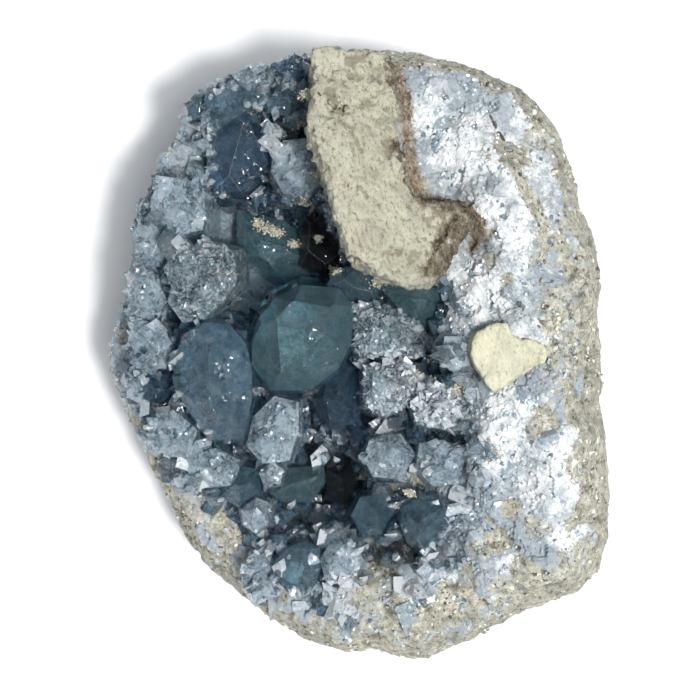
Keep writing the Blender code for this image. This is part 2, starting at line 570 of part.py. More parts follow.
def build_crystals(lump, rng):
    """All crystals of the crust, in a collection of their own, before they are joined."""
    crystals = bpy.data.collections.new("crystals")
    bpy.context.scene.collection.children.link(crystals)
    for i, (outline, top, bevel, tilt, azimuth) in enumerate(LARGE_CRYSTALS):
        root = min(lump.height(x, y) for x, y in outline) - ROOT_DEPTH
        crystals.objects.link(large_crystal(f"large_{i}", outline, top, bevel, tilt, azimuth, root, rng))
    for i, (x, y, radius) in enumerate(small_places(lump, rng)):
        ground = lump.height(x, y)
        slope = Vector((lump.height(x - SLOPE_PROBE, y) - lump.height(x + SLOPE_PROBE, y),
                        lump.height(x, y - SLOPE_PROBE) - lump.height(x, y + SLOPE_PROBE),
                        2 * SLOPE_PROBE))
        askew = Vector((rng.uniform(-SMALL_SKEW, SMALL_SKEW), rng.uniform(-SMALL_SKEW, SMALL_SKEW),
                        SMALL_UPRIGHT))
        up = slope.normalized() + askew
        place = Vector((x, y, ground + CRUST_DEPTH * SMALL_BASE + radius * rng.uniform(*SMALL_RISE)))
        crystals.objects.link(small_crystal(f"small_{i}", place, up.normalized(), radius, rng))
    return crystals


def grown(source, distance):
    """A copy of an object, larger by a distance all over, to cut a neighbour with."""
    bm = bmesh.new()
    bm.from_mesh(source.data)
    bm.normal_update()
    moved = [(v, v.co + v.normal * distance * MM) for v in bm.verts]
    for v, co in moved:
        v.co = co
    mesh = bpy.data.meshes.new(source.name + "_grown")
    bm.to_mesh(mesh)
    bm.free()
    copy = bpy.data.objects.new(source.name + "_grown", mesh)
    bpy.context.scene.collection.objects.link(copy)
    return copy


def add_boolean(target, operation, operand=None, collection=None):
    """An exact Boolean of an object with another, or with all in a collection."""
    modifier = target.modifiers.new(operation.lower(), "BOOLEAN")
    modifier.operation = operation
    modifier.solver = "EXACT"
    if collection:
        modifier.operand_type = "COLLECTION"
        modifier.collection = collection
    else:
        modifier.object = operand


def apply_all(target):
    """Replace an object's mesh by what its modifiers make, with loose crumbs left out."""
    bpy.context.view_layer.update()
    made = target.evaluated_get(bpy.context.evaluated_depsgraph_get())
    mesh = bpy.data.meshes.new_from_object(made)
    target.modifiers.clear()
    target.data = mesh
    bm = bmesh.new()
    bm.from_mesh(mesh)
    unseen = set(bm.faces)
    bodies = []
    while unseen:
        body = [unseen.pop()]
        for face in body:
            for edge in face.edges:
                if len(edge.link_faces) > 2:
                    continue
                for other in edge.link_faces:
                    if other in unseen:
                        unseen.remove(other)
                        body.append(other)
        bodies.append(body)
    bodies.sort(key=len, reverse=True)
    for crumb in bodies[1:]:
        bmesh.ops.delete(bm, geom=crumb, context="FACES")
    bmesh.ops.triangulate(bm, faces=bm.faces[:])
    bm.to_mesh(mesh)
    bm.free()


def dress(target):
    """A material of its own for a node, in its real colour."""
    colour, roughness = FINISHES[target.name]
    material = bpy.data.materials.new(target.name)
    material.use_nodes = True
    shader = material.node_tree.nodes["Principled BSDF"]
    shader.inputs["Base Color"].default_value = (*colour, 1)
    shader.inputs["Roughness"].default_value = roughness
    shader.inputs["Metallic"].default_value = 0.0
    target.data.materials.clear()
    target.data.materials.append(material)


def main():
    for old in list(bpy.data.objects):
        bpy.data.objects.remove(old, do_unlink=True)
    noise.seed_set(SEED)
    rng = random.Random(SEED)
    lump = Lump()
    rock = build_rock(lump, rng)
    slab = build_slab(lump)
    chip = build_chip(lump)
    crust = build_crust_base(lump, rng)
    crystals = build_crystals(lump, rng)
    envelope = build_envelope(lump, rng)

    cutters = [grown(rock, GAP), build_slab(lump, SLAB_ROOM), build_chip(lump, SLAB_ROOM)]
    for piece in (slab, chip):
        add_boolean(piece, "DIFFERENCE", operand=cutters[0])
    add_boolean(crust, "UNION", collection=crystals)
    add_boolean(crust, "INTERSECT", operand=envelope)
    for cutter in cutters:
        add_boolean(crust, "DIFFERENCE", operand=cutter)
    for piece in (slab, chip, crust):
        apply_all(piece)
    for guide in list(crystals.objects) + cutters + [envelope]:
        bpy.data.objects.remove(guide, do_unlink=True)
    bpy.data.collections.remove(crystals)

    for piece in (rock, slab, chip, crust):
        dress(piece)


main()
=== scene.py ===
# %% [markdown]
# A celestite geode
#
# The real object is a lump of rock with a hollow that blue celestite crystals have lined. The lump
# is half massive celestite, white and sugary, and half marl, a tan mudstone. This file dresses the
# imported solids: it loads them as a fixed frame, and puts a finely modelled piece in the place of
# each. Lengths below are in millimetres, because they are easy to picture at this size, and they
# turn into Blender's metres when a mesh is made.

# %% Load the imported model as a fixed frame
import math
import random

import bmesh
import bpy
import numpy as np
from mathutils import Matrix, Vector, noise
from mathutils.bvhtree import BVHTree
from mathutils.kdtree import KDTree


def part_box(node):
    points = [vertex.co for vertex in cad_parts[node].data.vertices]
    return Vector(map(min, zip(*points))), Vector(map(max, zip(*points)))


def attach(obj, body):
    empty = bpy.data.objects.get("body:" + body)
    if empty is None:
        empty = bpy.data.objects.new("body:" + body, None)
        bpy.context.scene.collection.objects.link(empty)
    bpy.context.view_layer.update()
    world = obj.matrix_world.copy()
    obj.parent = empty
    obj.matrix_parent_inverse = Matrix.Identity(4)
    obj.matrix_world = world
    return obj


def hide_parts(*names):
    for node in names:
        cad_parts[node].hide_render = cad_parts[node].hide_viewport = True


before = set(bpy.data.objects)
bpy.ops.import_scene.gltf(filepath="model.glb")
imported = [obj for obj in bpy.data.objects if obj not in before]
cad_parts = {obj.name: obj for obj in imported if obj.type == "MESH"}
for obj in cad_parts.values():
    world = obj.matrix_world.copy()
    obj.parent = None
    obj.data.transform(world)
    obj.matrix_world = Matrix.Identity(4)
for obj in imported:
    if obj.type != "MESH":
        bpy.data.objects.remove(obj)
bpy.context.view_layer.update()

MM = 0.001
SEED = 7
noise.seed_set(SEED)
rng = random.Random(SEED)
print("nodes:", sorted(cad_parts))

# %% [markdown]
# The camera
#
# The photograph looks straight down into the open hollow. The camera hangs above the lump at arm's
# length, and its lens is worked out from the width that the picture has to show at the rim.

# %% Hang the camera over the hollow
RIM_HEIGHT = 28.0
CAMERA_RISE = 420.0
CAMERA_X, CAMERA_Y = -1.65, 1.5
WIDTH_SHOWN = 115.5
SENSOR = 36.0

scene = bpy.context.scene


def linked(name, data):
    """A new object of a mesh, a lamp or a camera, linked to the scene."""
    made = bpy.data.objects.new(name, data)
    scene.collection.objects.link(made)
    return made


camera_data = bpy.data.cameras.new("camera")
camera_data.sensor_width = SENSOR
camera_data.lens = SENSOR * CAMERA_RISE / WIDTH_SHOWN
camera_data.clip_start = 0.01
camera = linked("camera", camera_data)
camera.location = Vector((CAMERA_X, CAMERA_Y, RIM_HEIGHT + CAMERA_RISE)) * MM
scene.camera = camera
print("lens in mm:", round(camera_data.lens, 1))

# %% [markdown]
# The light
#
# In the photograph the light comes from the lower right and high up, and its shadow falls to the
# upper left. Three lamps shine from there. A sharp one draws the shadow, a wider one spreads the
# glints, and a very wide one softens the shadow and finds its way into the clear crystals, which a
# small lamp hardly does. A weak, slightly blue world stands for the room.

# %% Set the lamps and the room's light
LIGHT_AZIMUTH = math.radians(-34)
LIGHT_HEIGHT = math.radians(73)
# How many degrees across each lamp is, its strength and its colour.
LAMPS = {"key": (7, 1.95, (1.0, 0.98, 0.95)), "glint": (22, 1.0, (1.0, 1.0, 1.0)),
         "wide": (45, 0.95, (0.98, 1.0, 1.0))}
ROOM_COLOUR = (0.77, 0.87, 0.99)
ROOM_STRENGTH = 0.32

towards_light = Vector((math.cos(LIGHT_AZIMUTH) * math.cos(LIGHT_HEIGHT),
                        math.sin(LIGHT_AZIMUTH) * math.cos(LIGHT_HEIGHT),
                        math.sin(LIGHT_HEIGHT)))
for name, (across, strength, colour) in LAMPS.items():
    lamp_data = bpy.data.lights.new(name, "SUN")
    lamp_data.energy = strength
    lamp_data.angle = math.radians(across)
    lamp_data.color = colour
    linked(name, lamp_data).rotation_euler = towards_light.to_track_quat("Z", "Y").to_euler()

world = bpy.data.worlds.new("room")
world.use_nodes = True
background = world.node_tree.nodes["Background"]
background.inputs["Color"].default_value = (*ROOM_COLOUR, 1)
background.inputs["Strength"].default_value = ROOM_STRENGTH
scene.world = world
scene.view_settings.view_transform = "Standard"
print("light from", [round(v, 2) for v in towards_light])

# %% [markdown]
# Materials from nodes
#
# Every finish here is made from Blender's noise patterns, which are worked out from a point's place
# in the object, so they stay put from every side. Short helpers keep the node code readable: they
# start a material, add a node, read a noise pattern, and mix or sharpen what it gives.

# %% Helpers for node materials
def new_material(name):
    """A material, its node tree and its Principled shader."""
    material = bpy.data.materials.new(name)
    material.use_nodes = True
    tree = material.node_tree
    return material, tree, tree.nodes["Principled BSDF"]


def feed(tree, node, inputs):
    """Give inputs of a node a value each, or the output socket that feeds them."""
    for key, value in inputs.items():
        if isinstance(value, bpy.types.NodeSocket):
            tree.links.new(value, node.inputs[key])
        else:
            node.inputs[key].default_value = value


def add_node(tree, kind, inputs=None, **settings):
    """A node with its inputs and settings."""
    node = tree.nodes.new(kind)
    for key, value in settings.items():
        setattr(node, key, value)
    feed(tree, node, inputs or {})
    return node


def grain(tree, size, detail=4.0, roughness=0.6, distortion=0.0, drawn=None):
    """Noise whose blotches are about so many millimetres across, as a value from 0 to 1.

    Drawn gives how many times longer the blotches are one way, and the angle of that way.
    """
    place = add_node(tree, "ShaderNodeTexCoord").outputs["Object"]
    if drawn:
        longer, turn = drawn
        place = add_node(tree, "ShaderNodeMapping",
                         {"Vector": place, "Rotation": (0, 0, turn), "Scale": (longer, 1, 1)},
                         vector_type="TEXTURE").outputs["Vector"]
    return add_node(tree, "ShaderNodeTexNoise", {
        "Vector": place, "Scale": 1 / (size * MM), "Detail": detail, "Roughness": roughness,
        "Distortion": distortion}).outputs["Fac"]


def ramp(tree, value, *stops):
    """A colour for each value: stops are pairs of a place from 0 to 1 and a colour."""
    node = add_node(tree, "ShaderNodeValToRGB", {"Fac": value})
    while len(node.color_ramp.elements) < len(stops):
        node.color_ramp.elements.new(0.5)
    for element, (place, colour) in zip(node.color_ramp.elements, stops):
        element.position = place
        element.color = (*colour, 1)
    return node.outputs["Color"]


def mixed(tree, share, first, second):
    """The first colour where the share is 0, the second where it is 1."""
    colours = [(*c, 1) if isinstance(c, tuple) else c for c in (first, second)]
    return add_node(tree, "ShaderNodeMix", {0: share, 6: colours[0], 7: colours[1]},
                    data_type="RGBA").outputs[2]


def worked(tree, operation, first, second):
    """Arithmetic on two values, each a socket or a number."""
    return add_node(tree, "ShaderNodeMath", {0: first, 1: second}, operation=operation).outputs[0]


def stepped(tree, value, low, high):
    """A value that rises smoothly from 0 at low to 1 at high."""
    return add_node(tree, "ShaderNodeMapRange", {"Value": value, "From Min": low, "From Max": high},
                    interpolation_type="SMOOTHSTEP").outputs["Result"]


def relief(tree, height, depth, under=None):
    """A bump of so many millimetres, on top of another one if that is given."""
    inputs = {"Height": height, "Distance": depth * MM}
    if under:
        inputs["Normal"] = under
    return add_node(tree, "ShaderNodeBump", inputs).outputs["Normal"]


def attribute(tree, name, *breakups):
    """What the mesh says about a point, such as how much marl there is.

    Each breakup adds noise of a size and a strength, so that borders are ragged.
    """
    value = add_node(tree, "ShaderNodeAttribute", attribute_name=name).outputs["Fac"]
    for size, strength in breakups:
        noisy = worked(tree, "MULTIPLY", grain(tree, size, 5.0, 0.8), strength)
        value = worked(tree, "SUBTRACT", worked(tree, "ADD", value, noisy), strength / 2)
    return value


print("helpers ready")

# %% [markdown]
# The solids as a guide
#
# The rock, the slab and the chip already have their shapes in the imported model. Their meshes may
# not be changed, so each is copied. The copies are also kept as search trees, to ask how high the
# ground is at a place and which node lies there.

# %% Copy the solids and build search trees
def welded(node):
    """A copy of a node's mesh, with the corners joined that the file had split."""
    bm = bmesh.new()
    bm.from_mesh(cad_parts[node].data)
    bmesh.ops.remove_doubles(bm, verts=bm.verts[:], dist=1e-6)
    bmesh.ops.recalc_face_normals(bm, faces=bm.faces[:])
    bm.normal_update()
    return bm


trees = {}
for node in sorted(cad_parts):
    copy = welded(node)
    trees[node] = BVHTree.FromBMesh(copy)
    print(node, len(copy.faces), "faces")
    copy.free()

SKY = 100.0
DOWN = Vector((0, 0, -1))


def ground(x, y, nodes=tuple(sorted(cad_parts))):
    """The highest point over a place, its normal, and its node, all in millimetres."""
    found = None
    for node in nodes:
        point, normal, _, _ = trees[node].ray_cast(Vector((x, y, SKY)) * MM, DOWN)
        if point and (found is None or point.z / MM > found[0].z):
            found = (point / MM, normal, node)
    return found


def covered(point):
    """Whether the crust of crystals lies over a point of the rock."""
    return trees["crystal_crust"].ray_cast(point, -DOWN)[0] is not None


# %% [markdown]
# Where the lump is marl, and where it is white
#
# The wall of the hollow is massive celestite. It is brightest where it is bruised and frosty, and
# blue-grey where it is clear. Round the outside and below, it passes into marl. A few named places
# with a radius say where each lies, and noise breaks up their borders.

# %% Places on the lump
WHITE_PLACES = (
    (10.8, 39.5, 2.8), (18, 33, 4.2), (26, 29, 3.3), (23, 23, 4.4), (21, 12, 3.8), (17, 8, 2.4),
    (27, 3.5, 2.4), (19, -6, 3.5), (35, -15, 4.6), (36, -22, 3.6), (30, -22, 3), (24, -33, 1.2),
    (9, -39, 2.4), (33, -29, 1.6), (14.5, 33, 2.4), (28, 39, 3), (22, -12, 4), (19, -18, 3),
    (12, -34, 2.6), (27, -9, 2.5), (8, -28, 2), (16, -25, 2),
)
MARL_PLACES = (
    (32, 8, 3), (34, 0, 4), (31, 17, 2), (29, -10, 2), (36, 14, 3), (35, 22, 2), (20, 15.5, 0.9),
    (23, 12.5, 0.8), (16, -5, 1.1), (9.5, -3.3, 0.9), (5, -21.5, 0.8), (3, -31, 1.2),
    (1.5, -39, 2.4), (12, -42, 2), (24, -39, 2), (36, -31, 1.5), (-24, -27, 2), (-38, 4, 2),
    (19.5, 20, 1.0), (22, -29, 1.6), (27, -35, 2.5), (29, -27, 1.2), (17, -37, 1.4), (31, 6, 2),
    (33, 30, 2), (28, 36, 1.6), (-30.5, -22.5, 1.6), (-27, -25, 2.2), (-22, -29.5, 2.2),
    (-18.5, -34, 1.6), (-13, -38.5, 1.5), (24, -24, 1.2), (19, -31, 1.2), (14, -37.5, 1.2),
    (4.5, -36.5, 1.8), (2.8, -34, 1.2), (5.5, -41, 2), (-6, -44.5, 2.2), (2, -45.5, 2.6),
    (8.5, -18.8, 0.6), (7.2, -23.6, 0.7), (30, -36, 2), (9, -43.5, 2.4), (18.5, -40.5, 2),
    (14, -41, 2.2), (23, -36.5, 1.6), (33, -34.5, 2.4), (28, -38.5, 2.4), (9, 27.5, 1.2),
)
# The brown earthy seam between the slab and the wall, a crack in the slab's toe, a scratch on its
# top, and a crack in the wall.
SEAM = ((5.4, 47), (7, 42), (7.4, 36), (8, 30), (9.3, 25.7), (13.2, 24.2), (17.1, 23.7), (18.7, 21),
        (17.9, 17.9))
SEAM_CRACK = ((4.2, 45), (5.6, 41.5), (6.2, 38), (6.0, 34), (6.6, 30), (7.6, 26.6), (9.8, 24.6))
TOE_CRACK = ((14.8, 22.1), (13, 19.8), (12.4, 18.2), (11, 16), (10.5, 13.8))
SCRATCH = ((-5.8, 41.4), (-5.0, 40.2), (-3.8, 39.4), (-2.4, 39.6), (-1.2, 39.9))
WALL_CRACK = ((20.5, 38.7), (21.4, 37.4), (22.0, 36.2), (22.9, 34.8))
EARTH_PLACES = ((15.8, 19.8, 1.6), (14.0, 16.2, 1.4), (12.5, 13.8, 1.0), (6.0, 44, 1.2),
                (6.3, 33, 1.0))
print(len(WHITE_PLACES), "white and", len(MARL_PLACES), "marl places")

# %% [markdown]
# From places to shares
#
# The lump's surface gets tens of thousands of points, so numpy works out each share for all of them
# at once. Noise goes in before a share is sharpened, because the borders in the rock are ragged.

# %% Shares at points of the lump
RIM_AXES = (38.0, 47.0)
RIM_FOOT, RIM_RISE = 30.0, 9.0
RIM_NEAR, RIM_GAIN = 0.72, 2.2
EDGE_NEAR, EDGE_GAIN = 0.86, 12.0
MARL_SHOULDER = (0.78, 0.48)
SHOULDER_BREAKUP = 0.25
LUMP_MIDDLE = (3.0, -1.0, 25.0)
OUTER_DEPTH = 12.0
BORDER_SIZE = 5.0
MARL_BREAKUP = 0.5
MARL_LEVELS = (0.0, 1.4)
# The strength, size and shift of the clouds of white.
WHITE_CLOUDS = ((0.7, 5.0, 9.0), (0.6, 1.8, 6.0))
WHITE_LEVELS = (-0.3, 1.5)


def rim_share(point):
    """0 deep in the hollow, 1 at its rim, from the height and the distance to the middle."""
    outward = math.hypot(point.x / RIM_AXES[0], point.y / RIM_AXES[1])
    return max((point.z - RIM_FOOT) / RIM_RISE + (outward - RIM_NEAR) * RIM_GAIN,
               (outward - EDGE_NEAR) * EDGE_GAIN)


def near(places, points):
    """For each point, 1 inside the nearest place, falling to 0 at twice its radius."""
    share = np.zeros(len(points))
    for x, y, radius in places:
        distance = np.hypot(points[:, 0] - x, points[:, 1] - y)
        share = np.maximum(share, np.clip(2 - distance / radius, 0, 1))
    return share


def along(line, points, width):
    """For each point, 1 on a line through the given places, falling to 0 at a width from it."""
    nearest = np.full(len(points), 1e9)
    for (ax, ay), (bx, by) in zip(line, line[1:]):
        ex, ey = bx - ax, by - ay
        dx, dy = points[:, 0] - ax, points[:, 1] - ay
        t = np.clip((dx * ex + dy * ey) / (ex * ex + ey * ey), 0, 1)
        nearest = np.minimum(nearest, np.hypot(dx - ex * t, dy - ey * t))
    return np.clip(1 - nearest / width, 0, 1)


def noise_at(points, size, shift=0.0):
    """Smooth noise from -1 to 1 at each point, with blotches of about so many millimetres."""
    offset = Vector((shift, shift, shift))
    return np.array([noise.fractal(Vector(p) / size + offset, 1.0, 2.0, 3) for p in points])


def smooth_step(values, low, high):
    """0 up to low, 1 from high on, and a smooth rise between them."""
    t = np.clip((values - low) / (high - low), 0, 1)
    return t * t * (3 - 2 * t)


def zones(points, normals):
    """Shares of marl and of white at points of the lump, in millimetres."""
    border = noise_at(points, BORDER_SIZE)
    shoulder = smooth_step(-normals[:, 2] - SHOULDER_BREAKUP * border,
                           -MARL_SHOULDER[0], -MARL_SHOULDER[1])
    outward = np.sum((points - np.array(LUMP_MIDDLE)) * normals, axis=1)
    shoulder *= smooth_step(outward, 0, OUTER_DEPTH)
    marl = smooth_step(near(MARL_PLACES, points) + MARL_BREAKUP * border, *MARL_LEVELS)
    cloud = sum(strength * noise_at(points, size, shift) for strength, size, shift in WHITE_CLOUDS)
    white = smooth_step(near(WHITE_PLACES, points) + cloud, *WHITE_LEVELS)
    return np.maximum(shoulder, marl), white


print("the rim lies", RIM_AXES, "mm from the middle")

# %% [markdown]
# The lump's surface
#
# Broken rock has relief at every scale. The solid has the large forms, so the copy is cut into fine
# triangles, smoothed a little to lose the solid's own facets, and moved along its normals: by small
# tilted chips where it is crystalline, and by soft grain where it is marl.

# %% Make a fine copy of a solid
FINE_CUTS = 7
SMOOTHING_ROUNDS = 5
REST_LEVEL = 0.05


def chipped(place, size):
    """Flat chips at random tilts, each about so many millimetres across."""
    centre = noise.voronoi(place / size)[1][0] * size
    tilt = 2 * noise.cell_vector(centre * 7) - Vector((1, 1, 1))
    return (place - centre).dot(tilt)


def add_values(mesh, name, values):
    """Store a number for each of a mesh's points, for its material to read."""
    layer = mesh.attributes.new(name, "FLOAT", "POINT")
    layer.data.foreach_set("value", np.asarray(values, dtype=np.float32))


def fine_copy(name, node):
    """A finely cut and softened copy of a node, with its points and normals in millimetres."""
    bm = welded(node)
    bmesh.ops.subdivide_edges(bm, edges=bm.edges[:], cuts=FINE_CUTS, use_grid_fill=True)
    loose = [v for v in bm.verts if v.co.z > REST_LEVEL * MM]
    for _ in range(SMOOTHING_ROUNDS):
        bmesh.ops.smooth_vert(bm, verts=loose, factor=0.5, use_axis_x=True, use_axis_y=True,
                              use_axis_z=True)
    bmesh.ops.triangulate(bm, faces=bm.faces[:])
    mesh = bpy.data.meshes.new(name)
    bm.to_mesh(mesh)
    bm.free()
    points, normals = np.empty((2, len(mesh.vertices) * 3))
    mesh.vertices.foreach_get("co", points)
    mesh.vertex_normals.foreach_get("vector", normals)
    print(name, len(mesh.polygons), "triangles")
    return linked(name, mesh), points.reshape(-1, 3) / MM, normals.reshape(-1, 3)


def move_points(made, points, normals, heights):
    """Raise each point along its normal, but leave the face that the lump rests on."""
    heights = np.where(points[:, 2] < REST_LEVEL, 0, heights)
    moved = points + normals * heights[:, None]
    moved[:, 2] = np.maximum(moved[:, 2], 0)
    made.data.vertices.foreach_set("co", (moved * MM).ravel())
    made.data.update()


print("each edge of a fine copy gets", FINE_CUTS, "cuts")

# %% [markdown]
# Chips and pits
#
# Flat chips at random tilts are the broken celestite, and soft noise with small pits is the marl.
# The same shares go into the mesh as values for its points, so the finish fits the relief.

# %% Cut and roughen the lump
CHIP_SIZES = ((3.2, 0.30), (1.3, 0.30))
MARL_GRAIN = ((4.0, 0.45), (1.1, 0.25))
PIT_SIZE = 1.8
PIT_DEPTH = 0.7
PIT_LEVELS = (0.25, 0.6)
BARE_LEVELS = (0.3, 0.9)
SEAM_FOOT = (36, 40)
SEAM_WIDTH = 1.9
CRACK_WIDTH = 0.45
RIM_SHADE_FADE = 0.85

rock, rock_points, rock_normals = fine_copy("host_rock_surface", "host_rock")
marl_share, white_share = zones(rock_points, rock_normals)
bare_share = smooth_step(near(MARL_PLACES, rock_points), *BARE_LEVELS)
# Under the crystal crust the rock gets painted shade, a dark blue-grey that fades towards the rim.
hollow_share = np.array([float(covered(Vector(p) * MM)) for p in rock_points]) * (1 - bare_share)
rim_fade_share = np.clip([rim_share(Vector(p)) for p in rock_points], 0, 1)
seam_share = along(SEAM, rock_points, SEAM_WIDTH) * smooth_step(rock_points[:, 2], *SEAM_FOOT)
pits = smooth_step(noise_at(rock_points, PIT_SIZE, 12.0), *PIT_LEVELS)
rock_heights = np.zeros(len(rock_points))
for chip_size, tilt in CHIP_SIZES:
    chips = np.array([chipped(Vector(p), chip_size) for p in rock_points])
    rock_heights += tilt * chips * (1 - marl_share)
for grain_size, height in MARL_GRAIN:
    rock_heights += height * noise_at(rock_points, grain_size, 3.0) * marl_share
rock_heights -= PIT_DEPTH * pits * marl_share
move_points(rock, rock_points, rock_normals, rock_heights)
for name, values in (("marl", marl_share), ("white", white_share), ("seam", seam_share),
                     ("hollow", hollow_share * (1 - RIM_SHADE_FADE * rim_fade_share)), ("pit", pits),
                     ("crack", along(WALL_CRACK, rock_points, CRACK_WIDTH))):
    add_values(rock.data, name, values)
smooth_faces = marl_share > 0.5
rock.data.polygons.foreach_set(
    "use_smooth", [bool(smooth_faces[p.vertices[0]]) for p in rock.data.polygons])
print("marl covers", round(float(marl_share.mean()), 2), "of the points")

# %% [markdown]
# The lump's finish
#
# Massive celestite is a mass of small clear grains. Light scatters between them, so it looks white
# where they are fine and blue-grey where they are coarse. Marl is dull: tan grains, some of them
# nearly black, in an olive-grey ground. One material holds both, and the mesh says which is where.

# %% The material of the lump
MARL_DARK = (0.08, 0.07, 0.055)
MARL_GREY = (0.27, 0.27, 0.225)
MARL_TAN = (0.51, 0.48, 0.37)
MARL_PALE = (0.84, 0.81, 0.69)
MARL_BROWN = (0.30, 0.245, 0.165)
CRACK_BROWN = (0.10, 0.07, 0.045)
EARTH_BROWN = (0.27, 0.20, 0.13)
FROST_WHITE = (0.93, 0.94, 0.94)
FROST_GREY = (0.70, 0.74, 0.75)
ICE_GREY = (0.49, 0.54, 0.565)
STEEL_GREY = (0.38, 0.43, 0.475)
CELESTITE_STOPS = ((0.0, STEEL_GREY), (0.28, ICE_GREY), (0.6, FROST_GREY), (0.88, FROST_WHITE))
MARL_STOPS = ((0.41, MARL_GREY), (0.49, MARL_TAN), (0.58, MARL_PALE))
EARTH_STOPS = ((0.42, CRACK_BROWN), (0.5, EARTH_BROWN), (0.6, MARL_TAN))
# Painted shade for the rock under the crystal crust.
UNDER_CRUST_SHADE_BLUE = (0.22, 0.29, 0.34)
GREYER_SHARE = 0.45
PIT_SHADE_SHARE = 0.7
LAYER_TURN = math.radians(110)
ICE_ROUGHNESS = 0.35
MARL_ROUGHNESS = 0.9
ROCK_RELIEF = 0.28


def marl_colour(tree):
    """Tan and olive-grey blotches with dark and pale grains, and broad greyer areas."""
    blotches = ramp(tree, grain(tree, 1.3, 9.0, 0.9), *MARL_STOPS)
    area = stepped(tree, grain(tree, 7.0, 3.0, 0.5), 0.4, 0.65)
    blotches = mixed(tree, worked(tree, "MULTIPLY", area, GREYER_SHARE), blotches, MARL_GREY)
    specks = stepped(tree, grain(tree, 0.9, 5.0, 0.8), 0.45, 0.39)
    # Painted shade: the marl's pits are darkened nearly to black.
    pit_shade = worked(tree, "MULTIPLY", attribute(tree, "pit"), PIT_SHADE_SHARE)
    return mixed(tree, worked(tree, "MAXIMUM", specks, pit_shade), blotches, MARL_DARK)


def earth_colour(tree):
    """The brown earth of the seam, with dark streaks."""
    return ramp(tree, grain(tree, 0.6, 6.0, 0.9, 0.0, (2.5, LAYER_TURN)), *EARTH_STOPS)


def rock_material():
    """Celestite and marl as the mesh says, with the seam's earth and the crack in the wall."""
    material, tree, shader = new_material("host_rock")
    colour = ramp(tree, attribute(tree, "white", (0.5, 1.3), (2.0, 0.9)), *CELESTITE_STOPS)
    # Painted shade: the rock under the crystal crust turns dark blue-grey.
    colour = mixed(tree, attribute(tree, "hollow"), colour, UNDER_CRUST_SHADE_BLUE)
    marl = stepped(tree, attribute(tree, "marl", (0.6, 2.8), (2.4, 1.4)), 0.3, 0.7)
    colour = mixed(tree, marl, colour, marl_colour(tree))
    seam = stepped(tree, attribute(tree, "seam", (0.6, 2.0)), 0.15, 0.7)
    colour = mixed(tree, seam, colour, earth_colour(tree))
    crack = stepped(tree, attribute(tree, "crack"), 0.3, 0.7)
    rough = worked(tree, "MULTIPLY", marl, MARL_ROUGHNESS)
    feed(tree, shader, {
        "Base Color": mixed(tree, crack, colour, MARL_DARK),
        "Roughness": worked(tree, "MAXIMUM", ICE_ROUGHNESS, rough),
        "Normal": relief(tree, grain(tree, 0.6, 8.0, 0.85), ROCK_RELIEF)})
    return material


rock.data.materials.append(rock_material())
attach(rock, "root")
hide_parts("host_rock")
print("finished", rock.name)

# %% [markdown]
# The slab and the chip of marl
#
# Both are dull, fine-grained mudstone that split off in layers. They are cut finely from their
# solids like the lump. Noise that is drawn out along the layers makes their ledges and streaks, and
# lines through named places make their cracks.

# %% The material of the slab and the chip
LAYER_STRETCH = 1.7
PALER = 1.22
PALEST = 0.98
BROWN_TO_TINT = 0.09


def marl_material(name, tint, brown_up_to, tan_share, low_shade_share, fine_relief):
    """Fine tan marl, with brown earth along the seam and dark cracks.

    The noise is brown up to a level. The shares say how much darker its tan areas are, and how much
    painted shade darkens its low places.
    """
    material, tree, shader = new_material(name)
    pale = tuple(min(PALEST, c * PALER) for c in tint)
    fine = grain(tree, 0.6, 8.0, 0.85, 0.0, (LAYER_STRETCH, LAYER_TURN))
    colour = ramp(tree, fine, (brown_up_to, MARL_BROWN), (brown_up_to + BROWN_TO_TINT, tint),
                  (0.58, pale))
    area = stepped(tree, grain(tree, 5.0, 4.0, 0.6), 0.45, 0.65)
    colour = mixed(tree, worked(tree, "MULTIPLY", area, tan_share), colour, MARL_TAN)
    # Painted shade: the low places of the relief are darkened towards brown.
    low = stepped(tree, attribute(tree, "low", (0.4, 1.8)), 0.35, 1.0)
    colour = mixed(tree, worked(tree, "MULTIPLY", low, low_shade_share), colour, MARL_BROWN)
    seam = stepped(tree, attribute(tree, "seam", (0.5, 2.0)), 0.1, 0.75)
    colour = mixed(tree, seam, colour, earth_colour(tree))
    crack = stepped(tree, attribute(tree, "crack", (0.3, 1.1)), 0.4, 0.8)
    feed(tree, shader, {
        "Base Color": mixed(tree, crack, colour, CRACK_BROWN), "Roughness": MARL_ROUGHNESS,
        "Normal": relief(tree, fine, fine_relief)})
    return material


print("layers turned by", round(math.degrees(LAYER_TURN)), "degrees")

# %% Make the slab and the chip
# The tint of each, the noise level up to which it is brown, the share of its darker tan areas, the
# share of painted shade in its low places, the depth of its fine relief, and how much of the coarse
# relief it gets.
MARL_PIECES = {"marl_slab": ((0.98, 0.93, 0.68), 0.393, 0.36, 0.6, 0.95, 1.0),
               "marl_chip": ((0.93, 0.87, 0.62), 0.352, 0.0, 0.1, 0.55, 0.4)}
LAYER_RELIEF = ((4.5, 0.40), (1.1, 0.34))
SLAB_CHIPS = ((1.5, 0.42), (5.0, 0.16))
LOW_SHADE_LEVELS = (0.05, 0.5)
WANDER_SIZE = 1.2
# The line of each crack, its width, and how much of the full depth it has.
CRACKS = ((TOE_CRACK, 0.4, 1.0), (SCRATCH, 0.45, 1.0), (SEAM_CRACK, 0.35, 0.8))
CRACK_DEPTH = 0.5
EARTH_WIDTH, TOE_EARTH_WIDTH = 2.4, 1.6
EARTH_DEPTH = 0.6


def layered(points):
    """Points turned and squeezed, so that noise read there is drawn out along the layers."""
    c, s = math.cos(LAYER_TURN), math.sin(LAYER_TURN)
    x = points[:, 0] * c + points[:, 1] * s
    y = -points[:, 0] * s + points[:, 1] * c
    return np.stack((x / LAYER_STRETCH, y, points[:, 2] * LAYER_STRETCH), axis=1)


